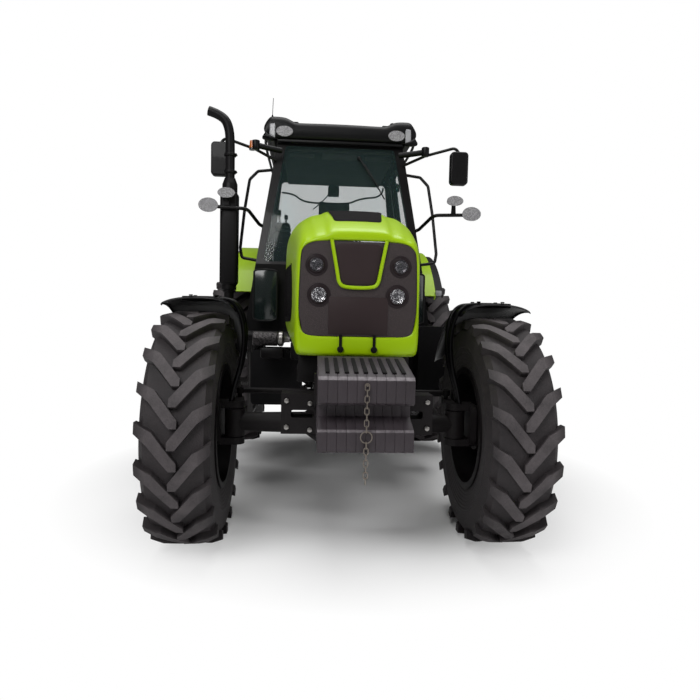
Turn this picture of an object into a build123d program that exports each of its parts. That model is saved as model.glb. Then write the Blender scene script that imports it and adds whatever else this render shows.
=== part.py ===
from build123d import *
import os
from math import cos, radians, sin, sqrt

# Farm tractor, in millimetres. It faces -Y, its left side is +X and the ground is z = 0.
# The origin lies on the ground under the middle of its length and width.

os.makedirs("parts", exist_ok=True)

# Driving dimensions of the whole machine
overall_length = 5100
front_overhang = 1270
wheelbase = 2922
front_axle_y = front_overhang - overall_length / 2
rear_axle_y = front_axle_y + wheelbase
rear_end_y = overall_length / 2

# Clearances
running_fit = 0.05
seat_gap = 0.3
moving_gap = 9.0

# Front wheels
front_track = 1843
front_tyre_od = 1400
front_tyre_width = 385
front_rim_radius = 356
front_rim_width = 330
front_lug_height = 38
front_lugs = 20

# Rear wheels
rear_track = 1982
rear_tyre_od = 1765
rear_tyre_width = 462
rear_rim_radius = 483
rear_rim_width = 410
rear_lug_height = 42
rear_lugs = 22

# Steering
kingpin_x = 690
kingpin_radius = 22
axle_beam_z = 722
axle_beam_radius = 60
knuckle_boss_radius = 62
knuckle_boss_height = 170
knuckle_arm = 255
tie_rod_radius = 18

# Hood
hood_nose_y = front_axle_y - 700
hood_rear_y = front_axle_y + 1180
hood_wall = 9
hood_rear_top_z = 2070

# Cab
cab_floor_z = 1230
cab_bottom_z = cab_floor_z - 50
cab_sill_z = 1280
cab_top_z = 2880
cab_wall = 55
glass_thickness = 6
windshield_foot_y = front_axle_y + 1240
windshield_foot_z = 1800
windshield_lean = 0.28
cab_rear_y = front_axle_y + 2960
rear_window_lean = 0.08
cab_side_x = 690
cab_side_z = 1850
tumblehome = 0.153
cab_taper = 0.06
door_hinge_y = front_axle_y + 2380
door_hinge_offset = 20

# Hood hinge
hood_hinge_y = hood_rear_y - 30
hood_hinge_z = 2010
hood_hinge_x = 150
hood_hinge_plate = 12
hood_pin_radius = 10
hood_ear_radius = 22

# Rear fenders
fender_radius = 1220
fender_sheet = 10
fender_inner_x = 745
fender_outer_x = 965
flare_outer_x = 1050

# Rear linkage
linkage_drop = 0.17
lift_arm_length = 400

def write_piece(piece, name):
    piece.label = name
    export_step(piece, f"parts/{name}.step")


def mirrored(piece):
    return mirror(piece, about=Plane.YZ)


def side_plane(x):
    """Upright plane facing the tractor's left, with its sketch axes along +Y and +Z."""
    return Plane.YZ.offset(x)


def front_plane(y):
    """Upright plane facing forwards, with its sketch axes along +X and +Z."""
    return Plane.XZ.offset(-y)


def wheel_plane(x, y, z):
    """Plane through a wheel's axle, with its sketch axes along the axle and up."""
    return Plane(origin=(x, y, z), x_dir=(1, 0, 0), z_dir=(0, -1, 0))


# Wheels: a closed tyre with raised lugs in a V whose nose points down at the front
def lug(centre, od, width, height, wrap):
    """One bar of the tread's left half, cut to the tread's outer form."""
    radius = od / 2
    tread_radius = radius - height
    axle = Axis(centre, (1, 0, 0))
    x, y, z = centre
    half = width / 2
    rise = half * wrap
    nose = 0.11 * width
    tail = 0.15 * width
    lug_arc = 44
    with BuildPart() as envelope:
        with BuildSketch(wheel_plane(x, y, z)):
            with BuildLine():
                Polyline(
                    (-0.08 * width, tread_radius - 20),
                    (-0.08 * width, radius),
                    (0.34 * width, radius - 4),
                    (half, radius - 0.6 * height),
                    (half, tread_radius - 0.95 * height),
                    (0.40 * width, tread_radius - 1.2 * height),
                    close=True,
                )
            make_face()
        revolve(axis=axle, revolution_arc=lug_arc)
    with BuildPart() as bar:
        with BuildSketch(Plane(origin=centre, x_dir=(1, 0, 0), z_dir=(0, -1, 0))):
            with BuildLine():
                Polyline(
                    (-0.06 * width, -rise / 2 - nose / 2),
                    (0.04 * width, -rise / 2 - nose / 2),
                    (0.32 * width, 0.12 * rise),
                    (half, 0.42 * rise),
                    (half, 0.42 * rise + tail),
                    (0.26 * width, 0.16 * rise + tail),
                    (-0.06 * width, -rise / 2 + nose / 2),
                    close=True,
                )
            make_face()
        extrude(amount=radius + 10)
        add(envelope.part.rotate(axle, 90 - lug_arc / 2), mode=Mode.INTERSECT)
    return bar.part


def tyre(centre, od, width, rim_radius, rim_width, height, lugs, wrap):
    radius = od / 2
    tread_radius = radius - height
    half = width / 2
    bead = rim_width / 2 - 1
    x, y, z = centre
    axle = Axis(centre, (1, 0, 0))
    left_bar = lug(centre, od, width, height, wrap)
    right_bar = mirror(left_bar, about=side_plane(x)).rotate(axle, 180 / lugs)
    bars = [left_bar.rotate(axle, 360 * i / lugs) for i in range(lugs)]
    bars += [right_bar.rotate(axle, 360 * i / lugs) for i in range(lugs)]
    with BuildPart() as body:
        with BuildSketch(wheel_plane(x, y, z)):
            with BuildLine():
                Polyline(
                    (-bead, rim_radius + seat_gap),
                    (-bead, rim_radius + 30),
                    (-half + 8, (rim_radius + tread_radius) / 2),
                    (-half + 12, tread_radius - 45),
                    (-half + 40, tread_radius - 10),
                    (0, tread_radius),
                    (half - 40, tread_radius - 10),
                    (half - 12, tread_radius - 45),
                    (half - 8, (rim_radius + tread_radius) / 2),
                    (bead, rim_radius + 30),
                    (bead, rim_radius + seat_gap),
                    close=True,
                )
            make_face()
        revolve(axis=axle)
        add(bars)
    return body.part


def rim(centre, rim_radius, rim_width, disc_x, hub_radius, hub_inner_x, hub_outer_x, bore):
    """Rim with its disc and hub. The disc and hub places are measured outwards from the wheel's middle."""
    x, y, z = centre
    flange = rim_radius + 25
    half = rim_width / 2
    axle = Axis(centre, (1, 0, 0))
    with BuildPart() as wheel:
        with BuildSketch(wheel_plane(x, y, z)):
            with BuildLine():
                Polyline(
                    (-half - 10, flange),
                    (-half, flange),
                    (-half, rim_radius),
                    (half, rim_radius),
                    (half, flange),
                    (half + 10, flange),
                    (half + 10, rim_radius - 12),
                    (disc_x + 14, rim_radius - 12),
                    (disc_x + 4, 0.62 * rim_radius),
                    (disc_x + 26, 0.45 * rim_radius),
                    (disc_x + 26, hub_radius),
                    (hub_outer_x, hub_radius - 20),
                    (hub_outer_x, bore),
                    (hub_inner_x, bore),
                    (hub_inner_x, hub_radius),
                    (disc_x + 14, hub_radius),
                    (disc_x + 14, 0.43 * rim_radius),
                    (disc_x - 10, 0.60 * rim_radius),
                    (disc_x, rim_radius - 12),
                    (-half - 10, rim_radius - 12),
                    close=True,
                )
            make_face()
        revolve(axis=axle)
    return wheel.part


front_wheel_centre = (front_track / 2, front_axle_y, front_tyre_od / 2)
rear_wheel_centre = (rear_track / 2, rear_axle_y, rear_tyre_od / 2)
spindle_radius = 50
axle_shaft_radius = 50

front_tyre_left = tyre(
    front_wheel_centre,
    front_tyre_od,
    front_tyre_width,
    front_rim_radius,
    front_rim_width,
    front_lug_height,
    front_lugs,
    0.95,
)
write_piece(front_tyre_left, "front_tyre_left")
write_piece(mirrored(front_tyre_left), "front_tyre_right")

rear_tyre_left = tyre(
    rear_wheel_centre,
    rear_tyre_od,
    rear_tyre_width,
    rear_rim_radius,
    rear_rim_width,
    rear_lug_height,
    rear_lugs,
    0.95,
)
write_piece(rear_tyre_left, "rear_tyre_left")
write_piece(mirrored(rear_tyre_left), "rear_tyre_right")

front_hub_inner_x = -110
front_rim_left = rim(
    front_wheel_centre, front_rim_radius, front_rim_width, 20, 140, front_hub_inner_x, 150,
    spindle_radius + running_fit,
)
write_piece(front_rim_left, "front_rim_left")
write_piece(mirrored(front_rim_left), "front_rim_right")

rear_hub_inner_x = -40
rear_rim_left = rim(
    rear_wheel_centre, rear_rim_radius, rear_rim_width, 30, 150, rear_hub_inner_x, 130,
    axle_shaft_radius + running_fit,
)
write_piece(rear_rim_left, "rear_rim_left")
write_piece(mirrored(rear_rim_left), "rear_rim_right")

# Front support: a cast frame under the hood, with the crossbar that carries the weights
support_half_width = 200
support_top_z = 1020
support_bottom_z = 870
support_front_y = front_axle_y - 700
support_rear_y = front_axle_y + 420
crossbar_half_width = 372
crossbar_bottom_z = 812
crossbar_top_z = 1009
crossbar_front_y = front_axle_y - 810
weight_bar_front_y = front_axle_y - 935
weight_bar_rear_y = front_axle_y - 885
weight_bar_top_z = 1120
weight_bar_bottom_z = 975
weight_bar_half_width = 215
trunnion_radius = 52
trunnion_bracket_inner = 142
trunnion_bracket_outer = 182

with BuildPart() as front_support:
    with BuildSketch(side_plane(0)):
        with BuildLine():
            Polyline(
                (support_front_y, support_bottom_z - 40),
                (support_front_y, support_top_z - 20),
                (support_rear_y, support_top_z),
                (support_rear_y, support_bottom_z),
                (front_axle_y + 340, support_bottom_z),
                (front_axle_y + 290, support_bottom_z + 60),
                (front_axle_y - 215, support_bottom_z + 60),
                (front_axle_y - 280, support_bottom_z - 40),
                close=True,
            )
        make_face()
    extrude(amount=support_half_width, both=True)
    with BuildSketch(front_plane(crossbar_front_y)):
        with Locations((0, (crossbar_bottom_z + crossbar_top_z) / 2)):
            Rectangle(2 * crossbar_half_width, crossbar_top_z - crossbar_bottom_z)
    extrude(amount=crossbar_front_y - support_front_y - 10)
    with BuildSketch(front_plane(support_front_y)):
        with Locations((-268, 910), (268, 910)):
            RectangleRounded(112, 38, 12)
    extrude(amount=support_front_y - crossbar_front_y + 20, both=True, mode=Mode.SUBTRACT)
    with BuildSketch(side_plane(0)):
        with BuildLine():
            Polyline(
                (weight_bar_front_y, weight_bar_bottom_z),
                (weight_bar_front_y, weight_bar_top_z),
                (weight_bar_rear_y, weight_bar_top_z),
                (weight_bar_rear_y, crossbar_top_z + 30),
                (crossbar_front_y + 1, crossbar_top_z - 5),
                (crossbar_front_y + 1, weight_bar_bottom_z - 40),
                (weight_bar_rear_y, weight_bar_bottom_z),
                close=True,
            )
        make_face()
    extrude(amount=weight_bar_half_width, both=True)
    for bracket_y in (
        front_axle_y - trunnion_bracket_outer,
        front_axle_y + trunnion_bracket_inner,
    ):
        with BuildSketch(front_plane(bracket_y)):
            with BuildLine():
                Polyline(
                    (-130, support_top_z - 40),
                    (130, support_top_z - 40),
                    (85, axle_beam_z - 40),
                    (40, axle_beam_z - 80),
                    (-40, axle_beam_z - 80),
                    (-85, axle_beam_z - 40),
                    close=True,
                )
            make_face()
            with Locations((0, axle_beam_z)):
                Circle(trunnion_radius + running_fit, mode=Mode.SUBTRACT)
        extrude(amount=-(trunnion_bracket_outer - trunnion_bracket_inner))
write_piece(front_support.part, "front_support")

# Front weights: ten cast plates hung side by side on the bar, each with a hand grip in its front
weight_count = 10
weight_pitch = 40.6
weight_gap = 0.6
weight_front_y = front_axle_y - 1246
weight_hook_y = front_axle_y - 840

with BuildPart() as weight_plate:
    with BuildSketch(side_plane(0)):
        with BuildLine():
            Polyline(
                (weight_front_y, 1130),
                (weight_hook_y, 1203),
                (weight_hook_y, 1060),
                (weight_bar_rear_y + seat_gap, 1060),
                (weight_bar_rear_y + seat_gap, weight_bar_top_z + seat_gap),
                (weight_bar_front_y - seat_gap, weight_bar_top_z + seat_gap),
                (weight_bar_front_y - seat_gap, 715),
                (weight_front_y + 150, 715),
                (weight_front_y, 845),
                (weight_front_y, 958),
                (weight_front_y + 120, 968),
                (weight_front_y + 120, 1012),
                (weight_front_y, 1024),
                close=True,
            )
        make_face()
    extrude(amount=(weight_pitch - weight_gap) / 2, both=True)

with BuildPart() as front_weights:
    first_weight_x = -(weight_count - 1) * weight_pitch / 2
    for i in range(weight_count):
        add(weight_plate.part.translate((first_weight_x + i * weight_pitch, 0, 0)))
write_piece(front_weights.part, "front_weights")

# Chain: hangs from a peg in front of the weights, with a lifting ring in the middle
chain_wire = 4
link_length = 34
link_width = 22
link_inner = link_length / 2 - chain_wire
link_slack = 1
link_pitch = 2 * link_inner - link_slack
ring_inner = 22
ring_pitch = link_inner + ring_inner - link_slack
chain_y = -overall_length / 2 + link_width / 2
chain_top_z = 1100
upper_links = 8
lower_links_count = 7
ring_z = chain_top_z - (upper_links - 1) * link_pitch - ring_pitch


def chain_link(z, turned):
    """Oval link of square bar about a point on the chain's line."""
    straight = link_length - link_width
    plane = Plane(
        origin=(0, chain_y, z),
        x_dir=(0, 1, 0) if turned else (1, 0, 0),
        z_dir=(1, 0, 0) if turned else (0, -1, 0),
    )
    with BuildPart() as link:
        with BuildSketch(plane):
            SlotCenterToCenter(straight, link_width, rotation=90)
            SlotCenterToCenter(straight, link_width - 2 * chain_wire, rotation=90, mode=Mode.SUBTRACT)
        extrude(amount=chain_wire / 2, both=True)
    return link.part


upper_chain = [chain_link(chain_top_z - i * link_pitch, i % 2 == 1) for i in range(upper_links)]
lower_chain = [
    chain_link(ring_z - ring_pitch - i * link_pitch, i % 2 == 0) for i in range(lower_links_count)
]
with BuildPart() as weight_chain:
    add(upper_chain + lower_chain)
    with BuildSketch(front_plane(chain_y + chain_wire / 2)):
        with Locations((0, ring_z)):
            Circle(ring_inner + chain_wire)
            Circle(ring_inner, mode=Mode.SUBTRACT)
    extrude(amount=chain_wire)
    with BuildSketch(front_plane(weight_front_y - seat_gap)):
        with Locations((0, chain_top_z + link_inner - 5 - seat_gap)):
            Circle(5)
    extrude(amount=weight_front_y - seat_gap - chain_y + 6)
write_piece(weight_chain.part, "weight_chain")

# Engine: one plain block with its sump
engine_front_y = support_rear_y + seat_gap
engine_rear_y = front_axle_y + 1190
engine_half_width = 230
with BuildPart() as engine:
    with BuildSketch(front_plane(engine_rear_y)):
        with BuildLine():
            Polyline(
                (-engine_half_width, 960),
                (-engine_half_width, 1420),
                (-150, 1560),
                (150, 1560),
                (engine_half_width, 1420),
                (engine_half_width, 960),
                (160, 820),
                (-160, 820),
                close=True,
            )
        make_face()
    extrude(amount=engine_rear_y - engine_front_y)
write_piece(engine.part, "engine")

# Transmission: the cast rear body of the tractor, with the two rear axle housings
housing_radius = 105
hub_housing_radius = 175
housing_end_x = rear_track / 2 + rear_hub_inner_x - 12
driveline_z = 660
rear_body_half = 190
rear_body_end_y = rear_axle_y + 330
rear_body_bottom_z = 600
with BuildPart() as transmission:
    with BuildSketch(side_plane(0)):
        with BuildLine():
            Polyline(
                (engine_rear_y, 820),
                (engine_rear_y, 1180),
                (front_axle_y + 1900, 1150),
                (rear_axle_y - 330, 1170),
                (rear_body_end_y, 1170),
                (rear_body_end_y, rear_body_bottom_z),
                (rear_axle_y - 300, rear_body_bottom_z),
                (front_axle_y + 1500, 640),
                close=True,
            )
        make_face()
    extrude(amount=rear_body_half, both=True)
    with BuildSketch(Plane.XY.offset(1130)):
        with Locations(*[(x, y) for x in (-130, 130) for y in (engine_rear_y + 170, rear_axle_y - 120)]):
            Rectangle(100, 120)
    extrude(amount=cab_bottom_z - seat_gap - 1130)
    with BuildSketch(side_plane(0)):
        with Locations((rear_axle_y, rear_tyre_od / 2)):
            Circle(hub_housing_radius)
    extrude(amount=330, both=True, taper=8)
    with BuildSketch(side_plane(-housing_end_x)):
        with Locations((rear_axle_y, rear_tyre_od / 2)):
            Circle(housing_radius)
    extrude(amount=2 * housing_end_x)
    with BuildSketch(front_plane(front_axle_y + 1520)):
        with Locations((0, driveline_z)):
            Circle(42)
    extrude(amount=1520 - trunnion_bracket_outer - 6)
    for side in (-1, 1):
        with BuildSketch(side_plane(side * (housing_end_x - 90))):
            with Locations((rear_axle_y, rear_tyre_od / 2)):
                Circle(axle_shaft_radius)
        extrude(amount=side * (90 - rear_hub_inner_x + 12 + 110))
write_piece(transmission.part, "transmission")

# Front axle: a tapered beam with its differential, trunnions and a boss for each kingpin
with BuildPart() as front_axle:
    with BuildSketch(wheel_plane(0, front_axle_y, axle_beam_z)):
        with BuildLine():
            Polyline(
                (-kingpin_x, 0),
                (-kingpin_x, axle_beam_radius - 8),
                (-kingpin_x + 120, axle_beam_radius),
                (-260, axle_beam_radius + 6),
                (-190, 118),
                (-60, 138),
                (60, 138),
                (190, 118),
                (260, axle_beam_radius + 6),
                (kingpin_x - 120, axle_beam_radius),
                (kingpin_x, axle_beam_radius - 8),
                (kingpin_x, 0),
                close=True,
            )
        make_face()
    revolve(axis=Axis((0, front_axle_y, axle_beam_z), (1, 0, 0)))
    with BuildSketch(front_plane(front_axle_y + trunnion_bracket_outer)):
        with Locations((0, axle_beam_z)):
            Circle(trunnion_radius)
    extrude(amount=2 * trunnion_bracket_outer)
    with BuildSketch(Plane.XY.offset(axle_beam_z - knuckle_boss_height / 2)):
        with Locations((-kingpin_x, front_axle_y), (kingpin_x, front_axle_y)):
            Circle(knuckle_boss_radius)
    extrude(amount=knuckle_boss_height)
    with Locations(
        (-kingpin_x, front_axle_y, axle_beam_z), (kingpin_x, front_axle_y, axle_beam_z)
    ):
        Cylinder(kingpin_radius + running_fit, knuckle_boss_height + 2, mode=Mode.SUBTRACT)
write_piece(front_axle.part, "front_axle")

# Knuckles: a fork over the axle's boss with its kingpins, the wheel's spindle and the steering arm
fork_gap = 6
fork_thickness = 42
fork_bottom = knuckle_boss_height / 2 + fork_gap
fork_top = fork_bottom + fork_thickness
plate_inner_x = kingpin_x + knuckle_boss_radius + 14
plate_outer_x = front_track / 2 + front_hub_inner_x - 8
tie_rod_z = axle_beam_z + fork_top + 12 + tie_rod_radius
tie_pin_radius = 14
fender_stay_radius = 16
fender_underside = front_tyre_od / 2 + 62
front_fender_sheet = 8

with BuildPart() as knuckle_left:
    for low in (axle_beam_z - fork_top, axle_beam_z + fork_bottom):
        with BuildSketch(Plane.XY.offset(low)):
            with Locations((kingpin_x, front_axle_y)):
                Circle(60)
            with Locations(((kingpin_x + plate_outer_x) / 2, front_axle_y)):
                Rectangle(plate_outer_x - kingpin_x, 120)
        extrude(amount=fork_thickness)
    with BuildSketch(side_plane(plate_inner_x)):
        with Locations((front_axle_y, axle_beam_z)):
            RectangleRounded(210, 2 * fork_top, 60)
    extrude(amount=plate_outer_x - plate_inner_x)
    with Locations((kingpin_x, front_axle_y, axle_beam_z)):
        Cylinder(kingpin_radius, 2 * fork_bottom + 10)
    with BuildSketch(side_plane(plate_inner_x)):
        with Locations((front_axle_y, front_tyre_od / 2)):
            Circle(spindle_radius)
    extrude(amount=front_track / 2 + 120 - plate_inner_x)
    with BuildSketch(Plane.XY.offset(axle_beam_z + fork_bottom)):
        with BuildLine():
            Polyline(
                (kingpin_x - 55, front_axle_y + 20),
                (kingpin_x - 26, front_axle_y + knuckle_arm),
                (kingpin_x + 26, front_axle_y + knuckle_arm),
                (kingpin_x + 58, front_axle_y + 20),
                close=True,
            )
        make_face()
        with Locations((kingpin_x, front_axle_y + knuckle_arm)):
            Circle(26)
    extrude(amount=fork_thickness - 12)
    with BuildSketch(Plane.XY.offset(axle_beam_z + fork_bottom + 10)):
        with Locations((kingpin_x, front_axle_y + knuckle_arm)):
            Circle(tie_pin_radius)
    extrude(amount=tie_rod_z + tie_rod_radius + 6 - axle_beam_z - fork_bottom - 10)
write_piece(knuckle_left.part, "knuckle_left")
write_piece(mirrored(knuckle_left.part), "knuckle_right")

# Tie rod: joins the two steering arms behind the axle, so that both wheels steer together
with BuildPart() as tie_rod:
    with BuildSketch(side_plane(-kingpin_x)):
        with Locations((front_axle_y + knuckle_arm, tie_rod_z)):
            Circle(tie_rod_radius)
    extrude(amount=2 * kingpin_x)
    with Locations(
        (-kingpin_x, front_axle_y + knuckle_arm, tie_rod_z),
        (kingpin_x, front_axle_y + knuckle_arm, tie_rod_z),
    ):
        Cylinder(28, 2 * tie_rod_radius)
        Cylinder(tie_pin_radius + running_fit, 2 * tie_rod_radius + 2, mode=Mode.SUBTRACT)
write_piece(tie_rod.part, "tie_rod")

# Front fenders: curved sheets over the tyres, each on two stays from its knuckle
front_fender_width = 445
front_fender_start = -28
front_fender_end = 58
with BuildPart() as front_fender_left:
    fender_axle = Axis(front_wheel_centre, (1, 0, 0))
    with BuildSketch(side_plane(front_track / 2 - front_fender_width / 2)):
        with Locations((front_axle_y, front_tyre_od / 2)):
            Circle(fender_underside + front_fender_sheet)
            Circle(fender_underside, mode=Mode.SUBTRACT)
        with BuildLine():
            start = radians(front_fender_start)
            end = radians(front_fender_end)
            middle = (start + end) / 2
            reach = 2 * fender_underside
            Polyline(
                (front_axle_y, front_tyre_od / 2),
                (front_axle_y + reach * sin(start), front_tyre_od / 2 + reach * cos(start)),
                (front_axle_y + reach * sin(middle), front_tyre_od / 2 + reach * cos(middle)),
                (front_axle_y + reach * sin(end), front_tyre_od / 2 + reach * cos(end)),
                close=True,
            )
        make_face(mode=Mode.INTERSECT)
    extrude(amount=front_fender_width)
    with BuildSketch(Plane.XY):
        with BuildLine():
            Polyline(
                (front_track / 2 - front_fender_width / 2 - 1, front_axle_y + 300),
                (front_track / 2 - front_fender_width / 2 - 1, front_axle_y + 900),
                (front_track / 2 - front_fender_width / 2 + 150, front_axle_y + 900),
                close=True,
            )
        make_face()
    extrude(amount=2000, mode=Mode.SUBTRACT)
    stay_foot_z = axle_beam_z + fork_top
    for stay_y in (-70, 70):
        stay_x = kingpin_x + 6
        stay_top = front_tyre_od / 2 + sqrt(
            (fender_underside + 3) ** 2 - (abs(stay_y) + fender_stay_radius) ** 2
        )
        with BuildSketch(Plane.XY.offset(stay_foot_z)):
            with Locations((stay_x + 18, front_axle_y + stay_y * 0.5)):
                Circle(fender_stay_radius)
        extrude(amount=40)
        with BuildLine() as stay_line:
            FilletPolyline(
                (stay_x + 18, front_axle_y + stay_y * 0.5, stay_foot_z + 20),
                (stay_x - 40, front_axle_y + stay_y * 0.6, 1180),
                (stay_x - 10, front_axle_y + stay_y, stay_top - 60),
                (stay_x + 60, front_axle_y + stay_y, stay_top - 5),
                radius=50,
            )
        with BuildSketch(
            Plane(origin=stay_line.line @ 0, z_dir=stay_line.line % 0)
        ):
            Circle(fender_stay_radius)
        sweep(path=stay_line.line)
write_piece(front_fender_left.part, "front_fender_left")
write_piece(mirrored(front_fender_left.part), "front_fender_right")

# Hood: a sheet shell that tilts up about its rear top edge, with the trim round the bare badge place
# Each station: distance behind the front axle, half width, bottom, shoulder, half width of the top, top
hood_stations = (
    (-700, 316, 1185, 1735, 210, 1790),
    (-620, 322, 1183, 1765, 215, 1836),
    (-470, 331, 1193, 1816, 222, 1902),
    (-300, 342, 1205, 1860, 228, 1955),
    (-80, 361, 1224, 1893, 237, 1990),
    (150, 382, 1245, 1915, 245, 2012),
    (600, 410, 1265, 1940, 257, 2043),
    (1180, 438, 1290, 1965, 270, hood_rear_top_z),
)
hood_shoulder_radius = 38


def hood_outline(y, half, bottom, shoulder, top_half, top, inset):
    """Section across the hood: upright sides, sloping shoulders and a nearly flat top."""
    with BuildSketch(front_plane(y)) as section:
        with BuildLine():
            Polyline(
                (-half + inset, bottom),
                (-half + inset, shoulder - 120),
                (-half + 18 + inset, shoulder),
                (-top_half, top - inset),
                (top_half, top - inset),
                (half - 18 - inset, shoulder),
                (half - inset, shoulder - 120),
                (half - inset, bottom),
                close=True,
            )
        make_face()
        upper = section.vertices().group_by(Axis.Z)[1:]
        fillet([corner for level in upper for corner in level], hood_shoulder_radius - inset)
    return section.sketch


grille_half_width = 297
grille_bottom_z = 1288
grille_top_z = 1762
grille_front_y = hood_nose_y + 4
grille_thickness = 30
upper_lamp_radius = 33
lower_lamp_radius = 37
upper_lamp_places = ((-212, 1642), (212, 1642))
lower_lamp_places = ((-198, 1493), (198, 1493))
trim_width = 13


def grille_outline(y, inset):
    with BuildSketch(front_plane(y)) as outline:
        with BuildLine():
            Polyline(
                (-grille_half_width + 22, grille_bottom_z),
                (-grille_half_width, grille_bottom_z + 120),
                (-grille_half_width, grille_top_z - 70),
                (-grille_half_width + 34, grille_top_z),
                (grille_half_width - 34, grille_top_z),
                (grille_half_width, grille_top_z - 70),
                (grille_half_width, grille_bottom_z + 120),
                (grille_half_width - 22, grille_bottom_z),
                close=True,
            )
        make_face()
        fillet(outline.vertices(), 28)
        if inset:
            offset(amount=-inset)
    return outline.sketch


def hood_block(inset, front_extra, rear_extra, bottom_extra):
    with BuildPart() as block:
        for place, half, bottom, shoulder, top_half, top in hood_stations:
            y = front_axle_y + place
            if place == hood_stations[0][0]:
                y += front_extra
            if place == hood_stations[-1][0]:
                y += rear_extra
            add(hood_outline(y, half, bottom - bottom_extra, shoulder, top_half, top, inset))
        loft(ruled=True)
    return block.part


with BuildPart() as hood_shell:
    add(hood_block(0, 0, 0, 0))
    add(hood_block(hood_wall, hood_wall, 1, 40), mode=Mode.SUBTRACT)

top_vent_front_y = front_axle_y - 590
top_vent_rear_y = front_axle_y - 260
side_vent_front_y = front_axle_y - 330
side_vent_rear_y = front_axle_y + 880


def top_vent_block(inset):
    with BuildPart() as block:
        with BuildSketch(Plane.XY.offset(1500)) as outline:
            with BuildLine():
                Polyline(
                    (-125, top_vent_front_y),
                    (-158, top_vent_rear_y),
                    (158, top_vent_rear_y),
                    (125, top_vent_front_y),
                    close=True,
                )
            make_face()
            fillet(outline.vertices(), 14)
            if inset:
                offset(amount=-inset)
        extrude(amount=800)
    return block.part


def side_vent_block(inset):
    with BuildPart() as block:
        with BuildSketch(side_plane(-600)) as outline:
            with BuildLine():
                Polyline(
                    (side_vent_front_y, 1420),
                    (side_vent_front_y + 60, 1680),
                    (side_vent_rear_y, 1730),
                    (side_vent_rear_y, 1400),
                    (side_vent_front_y + 60, 1340),
                    close=True,
                )
            make_face()
            fillet(outline.vertices(), 25)
            if inset:
                offset(amount=-inset)
        extrude(amount=1200)
    return block.part


with BuildPart() as hood:
    add(hood_shell.part)
    extrude(grille_outline(hood_nose_y - 20, 0), amount=-60, mode=Mode.SUBTRACT)
    add(top_vent_block(0), mode=Mode.SUBTRACT)
    add(side_vent_block(0), mode=Mode.SUBTRACT)
    with BuildSketch(front_plane(grille_front_y - seat_gap)):
        with BuildLine():
            trim_line = FilletPolyline(
                (-150, grille_top_z + 14),
                (-112, 1534),
                (112, 1534),
                (150, grille_top_z + 14),
                radius=24,
            )
        trace(line_width=trim_width)
    extrude(amount=14)
    for side in (-1, 1):
        with BuildSketch(side_plane(side * (hood_hinge_x - seat_gap))):
            Polygon(
                (hood_hinge_y - hood_ear_radius, hood_hinge_z),
                (hood_hinge_y - 50, hood_rear_top_z - hood_wall + 3),
                (hood_hinge_y + 25, hood_rear_top_z - hood_wall + 4),
                (hood_hinge_y + hood_ear_radius, hood_hinge_z),
                align=None,
            )
            with Locations((hood_hinge_y, hood_hinge_z)):
                Circle(hood_ear_radius)
                Circle(hood_pin_radius + running_fit, mode=Mode.SUBTRACT)
        extrude(amount=-side * hood_hinge_plate)
write_piece(hood.part, "hood")

with BuildPart() as hood_vents:
    add(top_vent_block(seat_gap))
    add(side_vent_block(seat_gap))
    add(hood_shell.part, mode=Mode.INTERSECT)
write_piece(hood_vents.part, "hood_vents")

with BuildPart() as grille_panel:
    extrude(grille_outline(grille_front_y, seat_gap), amount=-grille_thickness)
    for places, radius in (
        (upper_lamp_places, upper_lamp_radius),
        (lower_lamp_places, lower_lamp_radius),
    ):
        with BuildSketch(front_plane(grille_front_y)):
            with Locations(*places):
                Circle(radius + 22)
        extrude(amount=-12, mode=Mode.SUBTRACT)
        with BuildSketch(front_plane(grille_front_y)):
            with Locations(*places):
                Circle(radius + seat_gap)
        extrude(amount=-grille_thickness, mode=Mode.SUBTRACT)
write_piece(grille_panel.part, "grille_panel")

with BuildPart() as headlamps:
    for places, radius in (
        (upper_lamp_places, upper_lamp_radius),
        (lower_lamp_places, lower_lamp_radius),
    ):
        with BuildSketch(front_plane(grille_front_y + 6)):
            with Locations(*places):
                Circle(radius)
        extrude(amount=-grille_thickness)
write_piece(headlamps.part, "headlamps")

# Cab: a hollow frame of posts and rails whose sides lean in towards the roof and widen to the rear
cab_plan_y = front_axle_y + 1400
cab_normal = Vector(1, -cab_taper, tumblehome)
cab_side = Plane(
    origin=(cab_side_x, cab_plan_y, cab_side_z), x_dir=(cab_taper, 1, 0), z_dir=cab_normal
)
windshield_plane = Plane(
    origin=(0, windshield_foot_y, windshield_foot_z), x_dir=(1, 0, 0), z_dir=(0, -1, windshield_lean)
)
rear_window_foot_z = 1900
rear_window_plane = Plane(
    origin=(0, cab_rear_y, rear_window_foot_z), x_dir=(-1, 0, 0), z_dir=(0, 1, rear_window_lean)
)
arch_x = fender_inner_x - seat_gap
arch_plate = 12


def on_cab_side(y, z):
    """Sketch place, on the cab's leaning side, of the point at this length and height."""
    slope = sqrt(tumblehome**2 * (1 + cab_taper**2) + (1 + cab_taper**2) ** 2)
    up = (z - cab_side_z) * slope / (1 + cab_taper**2)
    along = (y - cab_plan_y - up * tumblehome * cab_taper / slope) * sqrt(1 + cab_taper**2)
    return (along, up)


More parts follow.
